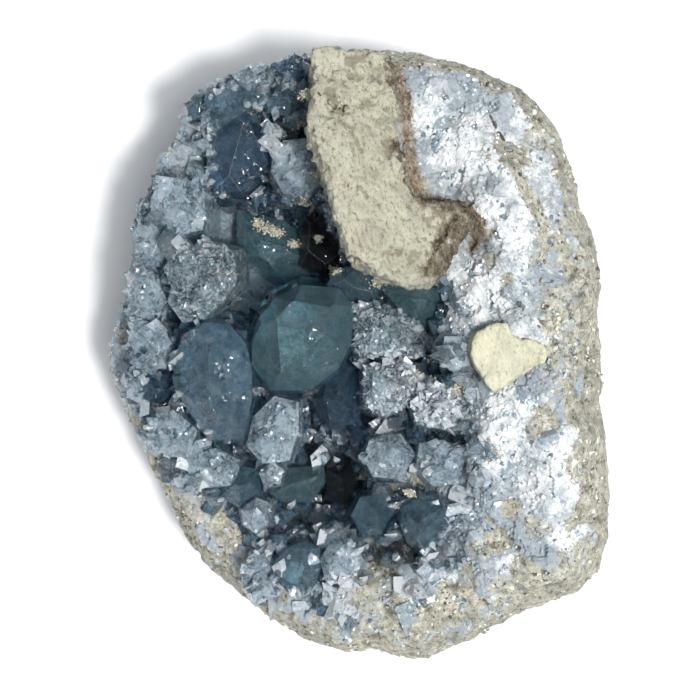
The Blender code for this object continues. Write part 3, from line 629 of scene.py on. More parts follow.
for node, (*finish, coarse_relief) in MARL_PIECES.items():
    piece, points, normals = fine_copy(node + "_surface", node)
    drawn_out = layered(points)
    heights = sum(height * noise_at(drawn_out, size, 5.0) for size, height in LAYER_RELIEF)
    for chip_size, tilt in SLAB_CHIPS:
        heights += tilt * np.array([chipped(Vector(p), chip_size) for p in drawn_out])
    heights *= coarse_relief
    wander = np.stack((noise_at(points, WANDER_SIZE, 2.0), noise_at(points, WANDER_SIZE, 4.0),
                       0 * heights), axis=1)
    wandered = points + wander
    cracks = np.max([depth * along(line, wandered, width) for line, width, depth in CRACKS], axis=0)
    earthy = np.max([along(SEAM, points + 0.5 * wander, EARTH_WIDTH),
                     0.8 * near(EARTH_PLACES, wandered),
                     0.9 * along(TOE_CRACK, wandered, TOE_EARTH_WIDTH)], axis=0)
    # How low each point lies, for the painted shade that darkens the low places.
    add_values(piece.data, "low", smooth_step(-heights, *LOW_SHADE_LEVELS))
    add_values(piece.data, "crack", cracks)
    add_values(piece.data, "seam", earthy)
    heights -= CRACK_DEPTH * cracks
    heights -= EARTH_DEPTH * earthy * np.abs(noise_at(points, 0.9, 7.0))
    move_points(piece, points, normals, heights)
    piece.data.polygons.foreach_set("use_smooth", [True] * len(piece.data.polygons))
    piece.data.materials.append(marl_material(node, *finish))
    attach(piece, "root")
    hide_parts(node)

# %% [markdown]
# How a crystal is cut
#
# A crystal is what is left when flat faces cut a block from every side. Celestite's own faces have
# fixed angles between them, which follow from the lengths of its unit cell.

# %% Cut a block with planes
MERGE = 1e-5


def cut_block(centre, reach, planes):
    """A bmesh of the block that is left behind every plane, given as a point and a normal."""
    bm = bmesh.new()
    bmesh.ops.create_cube(bm, size=2 * reach, matrix=Matrix.Translation(centre))
    for point, normal in planes:
        cut = bmesh.ops.bisect_plane(
            bm, geom=bm.verts[:] + bm.edges[:] + bm.faces[:], dist=MERGE,
            plane_co=point, plane_no=normal, clear_outer=True)
        edges = [e for e in cut["geom_cut"] if isinstance(e, bmesh.types.BMEdge)]
        bmesh.ops.holes_fill(bm, edges=edges, sides=0)
    bmesh.ops.recalc_face_normals(bm, faces=bm.faces[:])
    return bm


# The lengths of celestite's unit cell. Only their ratios count.
CELL = (8.36, 5.35, 6.87)


def form_faces(h, k, l):
    """The outward normals of one crystal form's faces, with the cell's first edge upward."""
    normals = {(b / CELL[1], c / CELL[2], a / CELL[0])
               for a in (h, -h) for b in (k, -k) for c in (l, -l)}
    return [Vector(n).normalized() for n in sorted(normals)]


print(len(form_faces(0, 1, 1)), "faces in the form 011")

# %% Shapes of small crystals and of fragments
SHAPE_COUNT = 24
BLOCK_COUNT = 12
SHAPE_REACH = 4
ROOT_LENGTH = 1.7
LEVEL = 1e-3


def form_planes(*forms):
    """Planes for crystal forms, each at a distance drawn between two limits."""
    planes = []
    for indices, low, high in forms:
        distance = rng.uniform(low, high)
        planes += [(normal * distance, normal) for normal in form_faces(*indices)]
    return planes


def shape_from(planes):
    """The points and faces of what is left inside the planes."""
    bm = cut_block(Vector(), SHAPE_REACH, planes)
    points = np.array([v.co[:] for v in bm.verts])
    faces = [[v.index for v in f.verts] for f in bm.faces]
    bm.free()
    return points, faces


def small_shape():
    """A crystal of about radius 1 that grows up from the origin."""
    ends = rng.choice(((2, 1, 0), (1, 0, 1), (1, 0, 2)))
    planes = form_planes(((0, 1, 1), 0.75, 1.1), ((0, 0, 1), 0.6, 1.1), (ends, 0.8, 1.3))
    upper = [(point, normal) for point, normal in planes if normal.z > -LEVEL]
    return shape_from([(Vector((0, 0, -ROOT_LENGTH)), DOWN), *upper])


def block_shape():
    """A cleavage fragment of about radius 1: where celestite splits, it leaves slanted blocks."""
    planes = form_planes(((0, 0, 1), 0.4, 0.9), ((2, 1, 0), 0.6, 1.0), ((1, 0, 0), 0.7, 1.0),
                         ((0, 1, 0), 0.7, 1.0))
    for _ in range(2):
        way = Vector([rng.uniform(-1, 1) for _ in range(3)]).normalized()
        planes.append((way * rng.uniform(0.5, 0.9), way))
    return shape_from(planes)


shapes = [small_shape() for _ in range(SHAPE_COUNT)] + [block_shape() for _ in range(BLOCK_COUNT)]
print(len(shapes), "shapes with", sum(len(f) for _, f in shapes) // len(shapes), "faces each")

# %% [markdown]
# Many small crystals as one mesh
#
# Thousands of crystals as separate objects would be slow. Each is one of a few shapes, turned,
# scaled and moved, so numpy can place its points, and all of them go into one mesh.

# %% Gather small crystals in one mesh
WIDTHS = (0.7, 1)


def turned(up, radius, factors=None):
    """A matrix that stands a shape along a direction, spun at random and scaled to a radius.

    The factors stretch it along its length, width and height. Without them the width is drawn.
    """
    turn = Matrix.Rotation(rng.uniform(0, math.tau), 3, "Z")
    factors = factors or (1, rng.uniform(*WIDTHS), 1)
    return np.array(up.to_track_quat("Z", "Y").to_matrix() @ turn) * (radius * np.array(factors))


def skewed(normal, amount):
    """A direction near a normal, with each part of it moved by up to an amount."""
    return (Vector(normal) + Vector([rng.uniform(-amount, amount) for _ in range(3)])).normalized()


def gathered(name, crystals, material):
    """One piece from crystals given as shape number, matrix, place in millimetres and shade."""
    points, faces, shades = [], [], []
    start = 0
    for number, matrix, place, shade in crystals:
        shape_points, shape_faces = shapes[number]
        points.append(shape_points @ matrix.T + np.array(place))
        faces.extend([[start + i for i in face] for face in shape_faces])
        shades.append(np.full(len(shape_points), shade))
        start += len(shape_points)
    mesh = bpy.data.meshes.new(name)
    mesh.from_pydata((np.concatenate(points) * MM).tolist(), [], faces)
    add_values(mesh, "shade", np.concatenate(shades))
    mesh.materials.append(material)
    made = linked(name, mesh)
    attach(made, "root")
    print(name, len(crystals), "crystals,", sum(len(f) - 2 for f in faces), "triangles")


print("shapes can be gathered")

# %% [markdown]
# Clear crystal
#
# Celestite bends light about as strongly as heavy glass. Its colour comes from deep inside: light is
# absorbed along its way, so thick crystals are dark and thin edges are pale. That is what Volume
# Absorption does. The base colour tints what passes through the surface, and the share that isn't
# let through stands for the milkiness of cloudy crystals.

# %% The material of the crystals
CELESTITE_IOR = 1.62
DULL_SHARE = 0.38
PALE_SHARE = 0.22
CHIP_ROUGHNESS = 0.16
GROWTH_LINES = (5.0, math.radians(48))
WAVE_DEPTH = 0.05
FACET_SIZE = 0.45


def vectors(tree, operation, inputs):
    """Arithmetic on vectors."""
    return add_node(tree, "ShaderNodeVectorMath", inputs, operation=operation).outputs[0]


def faceted_normal(tree, size, mask):
    """A normal that leans a different way in each little cell, where the mask is 1."""
    place = add_node(tree, "ShaderNodeTexCoord").outputs["Object"]
    cells = add_node(tree, "ShaderNodeTexVoronoi", {"Vector": place, "Scale": 1 / (size * MM)})
    centred = vectors(tree, "SUBTRACT", {0: cells.outputs["Color"], 1: (0.5, 0.5, 0.5)})
    leaning = vectors(tree, "SCALE", {0: centred, "Scale": mask})
    normal = add_node(tree, "ShaderNodeNewGeometry").outputs["Normal"]
    return vectors(tree, "NORMALIZE", {0: vectors(tree, "ADD", {0: leaning, 1: normal})})


def crystal_material(name, body, clear, absorb, density, roughness, chips, streaks, mottle,
                     blotches):
    """Celestite of one tone.

    The density is the absorption in a millimetre of crystal. Chips gives the noise levels between
    which the surface passes from whole to chipped, streaks the depth of the growth lines, and
    mottle and blotches how much darker and paler small spots and broad areas there are.
    """
    material, tree, shader = new_material(name)
    dull = tuple(c * DULL_SHARE for c in body)
    pale = tuple(1 - (1 - c) * PALE_SHARE for c in body)
    shade = attribute(tree, "shade", (0.45, mottle), (2.5, blotches))
    chipped_here = stepped(tree, grain(tree, 2.6, 5.0, 0.7), *chips)
    rough = worked(tree, "MULTIPLY", chipped_here, CHIP_ROUGHNESS)
    lines = relief(tree, grain(tree, 0.5, 4.0, 0.6, 0.0, GROWTH_LINES), streaks,
                   faceted_normal(tree, FACET_SIZE, chipped_here))
    feed(tree, shader, {
        "Base Color": ramp(tree, shade, (0.0, dull), (0.5, body), (1.0, pale)),
        "Transmission Weight": clear, "IOR": CELESTITE_IOR,
        "Roughness": worked(tree, "ADD", rough, roughness),
        "Normal": relief(tree, grain(tree, 1.6, 3.0, 0.5, 1.0), WAVE_DEPTH, lines)})
    volume = add_node(tree, "ShaderNodeVolumeAbsorption",
                      {"Color": (*absorb, 1), "Density": density / MM})
    feed(tree, tree.nodes["Material Output"], {"Volume": volume.outputs["Volume"]})
    return material


print("light bends by", CELESTITE_IOR)

# %% The tones of the crystals
EDGE_HIGHLIGHT_WHITE = (0.72, 0.82, 0.90)
EDGE_CLEAR = 0.80
EDGE_ROUGHNESS = 0.12
# Body colour, clear share, colour and density of the absorption, roughness, chips, streaks, mottle
# and blotches of each tone.
TONE_VALUES = {
    "teal": ((0.32, 0.54, 0.66), 0.86, (0.28, 0.55, 0.66), 0.035,
        0.03, (0.54, 0.62), 0.05, 1.2, 1.5),
    "blue": ((0.34, 0.57, 0.70), 0.87, (0.26, 0.54, 0.70), 0.04,
        0.03, (0.50, 0.60), 0.05, 1.1, 2.6),
    "navy": ((0.26, 0.48, 0.68), 0.92, (0.14, 0.40, 0.62), 0.085,
        0.02, (0.48, 0.56), 0.08, 1.8, 1.5),
    "deep": ((0.32, 0.56, 0.62), 0.87, (0.20, 0.48, 0.58), 0.06,
        0.03, (0.56, 0.64), 0.05, 1.1, 1.5),
    # A very dark grey glass: partly the crystals' own tone, partly painted shade where the hollow is
    # darkest.
    "smoke": ((0.26, 0.28, 0.27), 0.97, (0.34, 0.36, 0.36), 0.13,
        0.03, (0.58, 0.66), 0.05, 0.9, 1.5),
    "pale": ((0.67, 0.84, 0.95), 0.63, (0.46, 0.68, 0.82), 0.02,
        0.05, (0.44, 0.52), 0.10, 1.5, 2.6),
    "glitter": ((0.62, 0.79, 0.88), 0.68, (0.38, 0.62, 0.74), 0.03,
        0.04, (0.30, 0.45), 0.16, 2.6, 2.2),
    "milky": ((0.80, 0.90, 0.97), 0.42, (0.60, 0.78, 0.88), 0.01,
        0.06, (0.44, 0.52), 0.10, 1.3, 2.2),
}
TONES = {tone: crystal_material(tone + "_crystal", *values) for tone, values in TONE_VALUES.items()}

# The bevelled edges get a pale, frosty finish: partly wear, partly a painted highlight along each
# edge.
edge_wear_and_highlight, edge_tree, edge_shader = new_material("worn_and_highlit_crystal_edge")
feed(edge_tree, edge_shader, {
    "Base Color": ramp(edge_tree, grain(edge_tree, 0.8), (0.4, ICE_GREY), (0.65, EDGE_HIGHLIGHT_WHITE)),
    "Transmission Weight": EDGE_CLEAR, "IOR": CELESTITE_IOR, "Roughness": EDGE_ROUGHNESS})
print("tones:", sorted(TONES))

# %% [markdown]
# The large crystals
#
# Each large crystal in the photograph has a plan outline, steep sides, a bevel over each side and a
# nearly level top. Overlapping neighbours stay separate closed shapes, and the surfaces between
# them show inside the mass as they do in a real cluster.

# %% Outlines, heights and tones of the large crystals
# Plan outline, height of the top, bevel height, tilt and azimuth of the top, and tone.
LARGE_CRYSTALS = (
    (((-17.5, 3), (-16.5, 6.5), (-13.5, 10), (-9.5, 12), (-3.5, 11.5), (-1, 8.5), (-1.5, 2.5),
     (-3.5, -1.5), (-8, -5), (-14.5, -5), (-17.5, -1)), 40, 3.5, 7, 150, "deep"),
    (((-28.5, 4), (-25, 6), (-21, 5.5), (-18.5, 2.5), (-17.5, -1.5), (-17.5, -6.5), (-19, -13),
     (-24.5, -13), (-29.5, -5.5), (-30, 0)), 42, 4.5, 12, 240, "blue"),
    (((-32, 15), (-29.5, 17.5), (-25, 19.5), (-20.5, 17.5), (-20, 13), (-21.5, 10), (-25.5, 6.5),
     (-29, 7.5)), 41, 5, 16, 20, "glitter"),
    (((-31.5, 9.5), (-30.5, 12), (-26, 11), (-25, 6.5), (-29, 6)), 37, 3, 20, 250, "pale"),
    (((-33.5, 29), (-29, 29.5), (-25, 27), (-25.5, 21), (-30, 20), (-33.5, 23.5)), 39, 3, 14, 250,
     "pale"),
    (((-36, 23.5), (-33.5, 24), (-30.5, 19.5), (-32.5, 15.5), (-36, 14.5), (-37, 19)), 36, 3, 15,
     170, "pale"),
    (((-38, 14.5), (-34, 14.5), (-31.5, 9.5), (-34, 6.5), (-38, 6.5)), 35, 3, 12, 190, "pale"),
    (((-25.5, 38.5), (-21, 42), (-16, 41), (-15, 32), (-19.5, 27.5), (-24, 27.5), (-25, 32)), 36, 4,
     18, 280, "navy"),
    (((-25, 43), (-20, 44.5), (-15, 44.5), (-15.5, 42), (-23, 37), (-25.5, 38.5)), 40, 2, 14, 240,
     "blue"),
    (((-28, 42), (-26, 44), (-24.5, 42), (-25.5, 38), (-28, 38.5)), 37, 2.5, 15, 150, "blue"),
    (((-16, 42), (-13.5, 44.5), (-10.5, 45), (-9, 42), (-11.5, 39.5), (-15, 40)), 38, 3, 15, 90,
     "teal"),
    (((-14, 33.5), (-12.5, 35.5), (-8.5, 36), (-6, 32), (-6, 29), (-9, 26), (-12.5, 27),
     (-14.5, 30.5)), 39, 4, 20, 260, "pale"),
    (((-16, 37.5), (-14, 38.5), (-12, 37), (-14.5, 34), (-16, 34.5)), 36, 2, 20, 30, "glitter"),
    (((-14.5, 48), (-10.5, 49.5), (-8, 48.5), (-8.5, 44), (-12, 45), (-15, 45)), 38, 3, 18, 100,
     "navy"),
    (((-23.5, 45.5), (-18.5, 47.5), (-15, 48), (-16, 45), (-20.5, 45)), 36, 2.5, 15, 120, "pale"),
    (((-26.5, 25.5), (-20, 25), (-12.5, 23), (-6.5, 18), (-5, 13), (-11.5, 12.5), (-16.5, 10),
     (-20.5, 11.5), (-20.5, 17.5), (-26, 21)), 24, 2.5, 8, 190, "deep"),
    (((-10, 20.5), (-9, 23.5), (-6.5, 23.5), (-3, 17.5), (-5.5, 13.5), (-10, 15.5)), 31, 6, 25, 200,
     "smoke"),
    (((-5.5, 12), (-4, 14.5), (0, 15.5), (3.5, 13), (2.5, 9.5), (-2.5, 9.5)), 36, 3, 16, 230,
     "teal"),
    (((3, 12), (5.5, 13), (13.5, 12.5), (13, 9), (10.5, 4.5), (7, 7.5)), 37, 3, 20, 220, "deep"),
    (((-1.5, 9), (3, 9.5), (9.5, 6.5), (11, 4), (10.5, 0.5), (6, -0.5), (-1, 0.5)), 37, 3, 18, 200,
     "glitter"),
    (((-5.5, -2), (-2.5, 0), (-0.5, -1.5), (0.5, -6.5), (-0.5, -11.5), (-5, -11.5), (-7.5, -6.5)),
     35, 4, 22, 190, "navy"),
    (((0.5, -1), (6.5, 0), (11, -3), (9.5, -6.5), (4, -9.5), (0.5, -7.5)), 40, 3, 14, 210,
     "glitter"),
    (((11, -3), (14.5, -4.5), (16.5, -8.5), (14.5, -11.5), (9, -10.5), (8, -7)), 42, 3, 15, 250,
     "glitter"),
    (((-14, -6), (-10, -7), (-10, -11.5), (-11.5, -16.5), (-16, -17), (-18.5, -14), (-17.5, -9.5)),
     38, 4, 14, 40, "pale"),
    (((-16.5, -18.5), (-14.5, -16.5), (-12.5, -18), (-13, -20.5), (-15.5, -21)), 36, 2.5, 10, 40,
     "pale"),
    (((-15.5, -21.5), (-12.5, -18), (-6, -17.5), (-5.5, -20), (-8, -23.5), (-13, -23.5)), 32, 3, 20,
     30, "deep"),
    (((-5.5, -18), (-1.5, -17), (-0.5, -20.5), (-2.5, -24), (-5.5, -23)), 33, 3, 20, 100, "smoke"),
    (((-11.5, -30.5), (-9, -29.5), (-6.5, -30.5), (-6.5, -34), (-7.5, -38), (-11.5, -38),
     (-14, -35.5), (-13.5, -32.5)), 39, 3.5, 16, 250, "blue"),
    (((7, -24), (10, -22), (13, -22), (15.5, -24.5), (13, -29), (10.5, -32), (7.5, -29.5),
     (6.5, -26.5)), 41, 3.5, 14, 200, "blue"),
    (((-19.5, -24.5), (-17, -22.5), (-14.5, -23.5), (-15, -27), (-17, -28.5), (-19, -27)), 36, 3,
     15, 240, "pale"),
    (((5.5, -30), (7, -29), (8.5, -30.5), (8.5, -33), (5.5, -33)), 39, 2, 12, 270, "smoke"),
    (((-36.5, -3), (-31.5, -2.5), (-30.5, -5.5), (-34, -8), (-36, -7)), 36, 2.5, 18, 60, "navy"),
    (((-37, 6.5), (-32.5, 5.5), (-30.5, 2.5), (-31.5, -1.5), (-36.5, -1.5), (-38, 2.5)), 37, 3, 12,
     180, "pale"),
    (((-34, -10), (-30.5, -8), (-26.5, -11.5), (-27.5, -16), (-31.5, -16), (-34, -13.5)), 37, 3, 15,
     210, "pale"),
    (((-28.5, -15.5), (-23.5, -14.5), (-19.5, -16.5), (-20.5, -20.5), (-25, -21), (-28, -19)), 36,
     3, 14, 240, "pale"),
    (((-22, -17), (-17, -18), (-16, -22), (-19.5, -24.5), (-23, -22.5)), 34, 3, 16, 280, "teal"),
    (((-5, -30), (-1.5, -29), (0.5, -32.5), (-1.5, -36.5), (-5.5, -36.5), (-6.5, -32.5)), 38, 3, 16,
     80, "pale"),
    (((-18.5, -32.5), (-15, -30), (-14, -34), (-16, -37.5), (-18.5, -36.5)), 35, 2.5, 18, 200,
     "pale"),
    (((1.5, -13), (6.5, -12), (9, -15.5), (6.5, -19.5), (2, -19), (0.5, -16)), 39, 3, 18, 140,
     "pale"),
    (((9.5, -13.5), (13.5, -13), (17, -15.5), (16, -20), (11.5, -20.5), (9, -17.5)), 41, 3, 14, 170,
     "pale"),
    (((0, -22.5), (3.5, -22), (5.5, -25), (4, -29), (0.5, -29), (-1.5, -25.5)), 36, 3, 18, 120,
     "teal"),
)

# %% [markdown]
# Growth steps
#
# A crystal's top grows in layers that start at one side of the face and stop in a straight line. So
# the top face is split along a line, and the part beyond the line is raised a little. What is left
# is still one closed solid, so no stray surface shows inside the clear crystal.

# %% Steps on the tops
STEP_PLACES = (-0.1, 0.25)
STEP_TURN = (0.8, 2.2)
STEP_RISE = 0.3
SAME_WAY = 0.9999


def raise_step(bm, facing, place, way):
    """Split the highest face that looks along the facing by a line, and raise what lies beyond."""
    def height(face):
        return face.calc_center_median().dot(facing)

    def tops():
        return [f for f in bm.faces if f.normal.dot(facing) > SAME_WAY]

    bm.normal_update()
    if not tops():
        return
    top = max(tops(), key=height)
    bmesh.ops.bisect_plane(bm, geom=[top, *top.edges, *top.verts], dist=MERGE, plane_co=place,
                           plane_no=way)
    level = max(height(f) for f in tops()) - LEVEL
    beyond = [f for f in tops()
              if height(f) > level and (f.calc_center_median() - place).dot(way) > 0]
    if not beyond:
        return
    raised = bmesh.ops.extrude_face_region(bm, geom=beyond)["geom"]
    corners = [v for v in raised if isinstance(v, bmesh.types.BMVert)]
    bmesh.ops.translate(bm, vec=facing * STEP_RISE, verts=corners)


print("steps rise by", STEP_RISE, "mm")

# %% [markdown]
# From outline to crystal
#
# Every side of the outline gives two planes: the steep side and its bevel. The side of a crystal
# that looks away from the lump at the rim leans inward below, as on a lump that was broken open.
# The crystal's root ends in the rock.

# %% Cut one large crystal
SIDE_LEAN = 7.0
RIM_LEAN = -15.0
RIM_START = 0.8
LOOKS_OUT = 0.4
BEVEL_SLOPES = (28.0, 62.0)
BEVEL_INSET = 0.15
ROOT_DEPTH = 1.0
LARGE_REACH = 60.0
ROOT_SPAN = 2.5
LONGEST = 18.0
EDGE_WEAR = 0.08


def faces_out(place, normal):
    """Whether a face at a place lies at the rim of the hollow and looks away from the lump."""
    away = Vector((place.x / RIM_AXES[0], place.y / RIM_AXES[1], 0))
    return away.length > RIM_START and away.normalized().dot(normal) > LOOKS_OUT


def leaning(outward, angle):
    """An outward direction, tilted upward by an angle in degrees."""
    angle = math.radians(angle)
    return outward * math.cos(angle) + Vector((0, 0, math.sin(angle)))


def large_crystal(outline, top, bevel, tilt, azimuth):
    """A bmesh in millimetres: steep sides, a bevel over each side and a tilted, stepped top."""
    points = [Vector((*p, top - bevel)) for p in outline]
    area = sum(a.x * b.y - a.y * b.x for a, b in zip(points, points[1:] + points[:1]))
    if area < 0:
        points.reverse()
    centre = sum(points, Vector()) / len(points)
    tilt, azimuth = math.radians(tilt), math.radians(azimuth)
    facing = Vector((math.cos(azimuth) * math.sin(tilt), math.sin(azimuth) * math.sin(tilt),
                     math.cos(tilt)))
    below = [found[0].z for found in (ground(x, y, ("host_rock",)) for x, y in outline) if found]
    root = max(min(below), sum(below) / len(below) - ROOT_SPAN, top - LONGEST) - ROOT_DEPTH
    summit = Vector((centre.x, centre.y, top))
    planes = [(summit, facing), (Vector((0, 0, root)), DOWN)]
    for a, b in zip(points, points[1:] + points[:1]):
        outward = Vector((b.y - a.y, a.x - b.x, 0)).normalized()
        lean = RIM_LEAN if faces_out((a + b) / 2, outward) else SIDE_LEAN
        planes.append((a, leaning(outward, lean)))
        planes.append((a - outward * BEVEL_INSET, leaning(outward, rng.uniform(*BEVEL_SLOPES))))
    bm = cut_block(centre, LARGE_REACH, planes)
    across = max((p - centre).length for p in points)
    turn = rng.uniform(0, math.tau)
    for share in STEP_PLACES:
        turn += rng.uniform(*STEP_TURN)
        way = Vector((math.cos(turn), math.sin(turn), 0))
        raise_step(bm, facing, summit + way * across * share, way)
    # The bevel faces take the second material, the pale edge that is worn and carries a painted
    # highlight.
    bmesh.ops.bevel(bm, geom=bm.edges[:], offset=EDGE_WEAR, segments=1, affect="EDGES",
                    clamp_overlap=True, material=1)
    return bm


print("edges worn by", EDGE_WEAR, "mm")

# %% [markdown]
# One mesh for each tone
#
# Crystals of one tone share a material, so they go into one mesh. Each also gives a search tree and
# its outer faces at the rim, which the small crystals need further on.

# %% Cut the large crystals
LARGE_SHADES = (0.28, 0.48)
SIDE_SLOPE = 0.5


def put_in(joined, bm, shade):
    """Add a crystal in millimetres to a mesh in metres, with one shade all over."""
    layer = bm.verts.layers.float.new("shade")
    for vertex in bm.verts:
        vertex[layer] = shade
    bmesh.ops.scale(bm, vec=(MM, MM, MM), verts=bm.verts[:])
    part = bpy.data.meshes.new("part")
    bm.to_mesh(part)
    bm.free()
    joined.from_mesh(part)
    bpy.data.meshes.remove(part)


large_pieces, large_trees, outer_faces = [], [], []
for tone, material in TONES.items():
    shaped = [c[:5] for c in LARGE_CRYSTALS if c[5] == tone]
    if not shaped:
        continue
    joined = bmesh.new()
    for values in shaped:
        crystal = large_crystal(*values)
        large_trees.append(BVHTree.FromBMesh(crystal))
        for face in crystal.faces:
            if abs(face.normal.z) < SIDE_SLOPE and faces_out(face.calc_center_median(), face.normal):
                corners = [v.co.copy() for v in face.verts]
                outer_faces.append((len(large_trees) - 1, corners, face.normal.copy(),
                                    face.calc_area()))
        put_in(joined, crystal, rng.uniform(*LARGE_SHADES))
    mesh = bpy.data.meshes.new("large_crystals_" + tone)
    joined.to_mesh(mesh)
    joined.free()
    mesh.materials.append(material)
    mesh.materials.append(edge_wear_and_highlight)
    piece = linked("large_crystals_" + tone, mesh)
    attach(piece, "root")
    large_pieces.append(piece)
    print(piece.name, len(mesh.polygons), "faces")
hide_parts("crystal_crust")

# %% [markdown]
# Where the small crystals stand
#
# Small crystals fill every gap between the large ones and crowd the rim. Their places come from a
# loose grid, and each grows out from the surface, a little askew.

# %% Places and directions for small crystals
def inside_depth(outline, x, y):
    """Distance to an outline: positive inside it, negative outside."""
    nearest = 1e9
    within = False
    for a, b in zip(outline, outline[1:] + outline[:1]):
        ex, ey = b[0] - a[0], b[1] - a[1]
        t = min(1.0, max(0.0, ((x - a[0]) * ex + (y - a[1]) * ey) / (ex * ex + ey * ey)))
        nearest = min(nearest, math.hypot(x - a[0] - ex * t, y - a[1] - ey * t))
        if (a[1] > y) != (b[1] > y) and x < a[0] + (y - a[1]) / ey * ex:
            within = not within
    return nearest if within else -nearest


def share_at(places, x, y):
    """1 inside the nearest place, falling to 0 at twice its radius."""
    return near(places, np.array([(x, y)]))[0]


def crust_at(x, y):
    """The point and the normal of the crust at a place, or None where it isn't on top."""
    found = ground(x, y)
    return found[:2] if found and found[2] == "crystal_crust" else None


def crust_grid(spacing):
    """Places on a loose grid that lie on the crust, each with its point and normal."""
    row = low[1]
    while row < high[1]:
        column = low[0]
        while column < high[0]:
            x = column + rng.uniform(-0.5, 0.5) * spacing
            y = row + rng.uniform(-0.5, 0.5) * spacing
            if found := crust_at(x, y):
                yield x, y, *found
            column += spacing
        row += spacing


low, high = (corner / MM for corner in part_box("crystal_crust"))
print("crystals from", [round(v) for v in low], "to", [round(v) for v in high])

# %% [markdown]
# Loose crystals are let down
#
# A crystal at the rim may stand where nothing holds it. So each is followed to the rock or to a
# large crystal, directly or through its neighbours. What isn't held is let down on to what lies
# below it, as a loose crystal would fall.

# %% See that small crystals are held
SMALL_RADIUS = (0.5, 1.7)
ROOT_SHARES = (0.3, 0.9, 1.5)
ROOT_TOUCH = 0.25
NEIGHBOUR_TOUCH = 0.75
DEEPEST_FALL = 5.0


def inside(point, tree):
    """How deep a point lies in a closed surface of the same unit, or less than 0 outside it."""
    nearest, normal, _, distance = tree.find_nearest(point)
    return distance if (point - nearest).dot(normal) < 0 else -distance


def rooted(matrix, place):
    """Whether the lower part of a small crystal lies in the rock or in a large crystal."""
    for share in ROOT_SHARES:
        point = place - Vector(matrix[:, 2]) * share
        if inside(point * MM, trees["host_rock"]) > -ROOT_TOUCH * MM:
            return True
        if any(inside(point, tree) > -ROOT_TOUCH for tree in large_trees):
            return True
    return False


def lowered(crystal):
    """The crystal let down on to what lies below it, or None where that is too far down."""
    place = crystal[3]
    hits = [tree.ray_cast(place, DOWN)[0] for tree in large_trees]
    rock_hit = trees["host_rock"].ray_cast(place * MM, DOWN)[0]
    heights = [hit.z for hit in hits if hit] + ([rock_hit.z / MM] if rock_hit else [])
    if not heights or place.z - max(heights) > DEEPEST_FALL:
        return None
    return (*crystal[:3], Vector((place.x, place.y, max(heights))), crystal[4])


def held(crystals):
    """All crystals, with those let down that reach the rock neither directly nor through others."""
    places = KDTree(len(crystals))
    for i, crystal in enumerate(crystals):
        places.insert(crystal[3], i)
    places.balance()
    radii = [float(np.linalg.norm(c[2][:, 2])) for c in crystals]
    waiting = [i for i, c in enumerate(crystals) if rooted(c[2], c[3])]
    kept = set(waiting)
    while waiting:
        i = waiting.pop()
        for _, j, distance in places.find_range(crystals[i][3], 2 * SMALL_RADIUS[1]):
            if j not in kept and distance < (radii[i] + radii[j]) * NEIGHBOUR_TOUCH:
                kept.add(j)
                waiting.append(j)
    settled = [crystals[i] if i in kept else lowered(crystals[i]) for i in range(len(crystals))]
    print(len(crystals) - len(kept), "let down and", settled.count(None), "left out, of",
          len(crystals))
    return [crystal for crystal in settled if crystal]


print(len(large_trees), "large crystals can hold small ones")

# %% [markdown]
# The small crystals between the large ones
#
# At the rim they are cloudy and pale, with milky patches, and deep in the hollow they are darker
# and clearer. A share of them is frosty anywhere, and some grow over the pale large crystals.

# %% Scatter small crystals over the crust
SMALL_SPACING = 0.98
EDGE_RADIUS = 0.65
EDGE_BAND = 2.5
EDGE_PROBES = ((EDGE_BAND, 0), (-EDGE_BAND, 0), (0, EDGE_BAND), (0, -EDGE_BAND))
EDGE_SUNK = 0.35
SKEW = 0.9
EDGE_SKEW = 0.45
UPWARD = Vector((0, 0, 0.6))
BARE_SHARE = 0.95
FROSTY_SHARE = 0.13
OVERGROWN_SHARE = 0.28
OVERGROWN_RADIUS = 0.7
RIM_OVERLAP, OVERLAP = 0.9, -0.5
RIM_SPREAD, TONE_SPREAD = 0.35, 0.3
TONE_LEVELS = (("pale", 0.6), ("blue", 0.2), ("teal", -0.15))
PATCH = 5.0
MILKY_BELOW, MILKY_FROM = -16.0, -0.22
BLUE_FROM = -0.1
BLUE_RIM_PLACES = ((-33.5, -5, 5), (-35, 19, 3))
PALER_BELOW, PALER_POWER = -14.0, 0.55


def small_tone(rim, place, x, y):
    """The tone of a small crystal, from how near the rim it is and the patch it stands in."""
    tone = next((name for name, level in TONE_LEVELS if rim > level), "navy")
    patch = noise.noise(place / PATCH)
    if tone == "pale" and y < MILKY_BELOW and patch > MILKY_FROM:
        return "milky"
    if tone == "pale" and patch > BLUE_FROM and share_at(BLUE_RIM_PLACES, x, y) > 0.3:
        return "blue"
    return tone


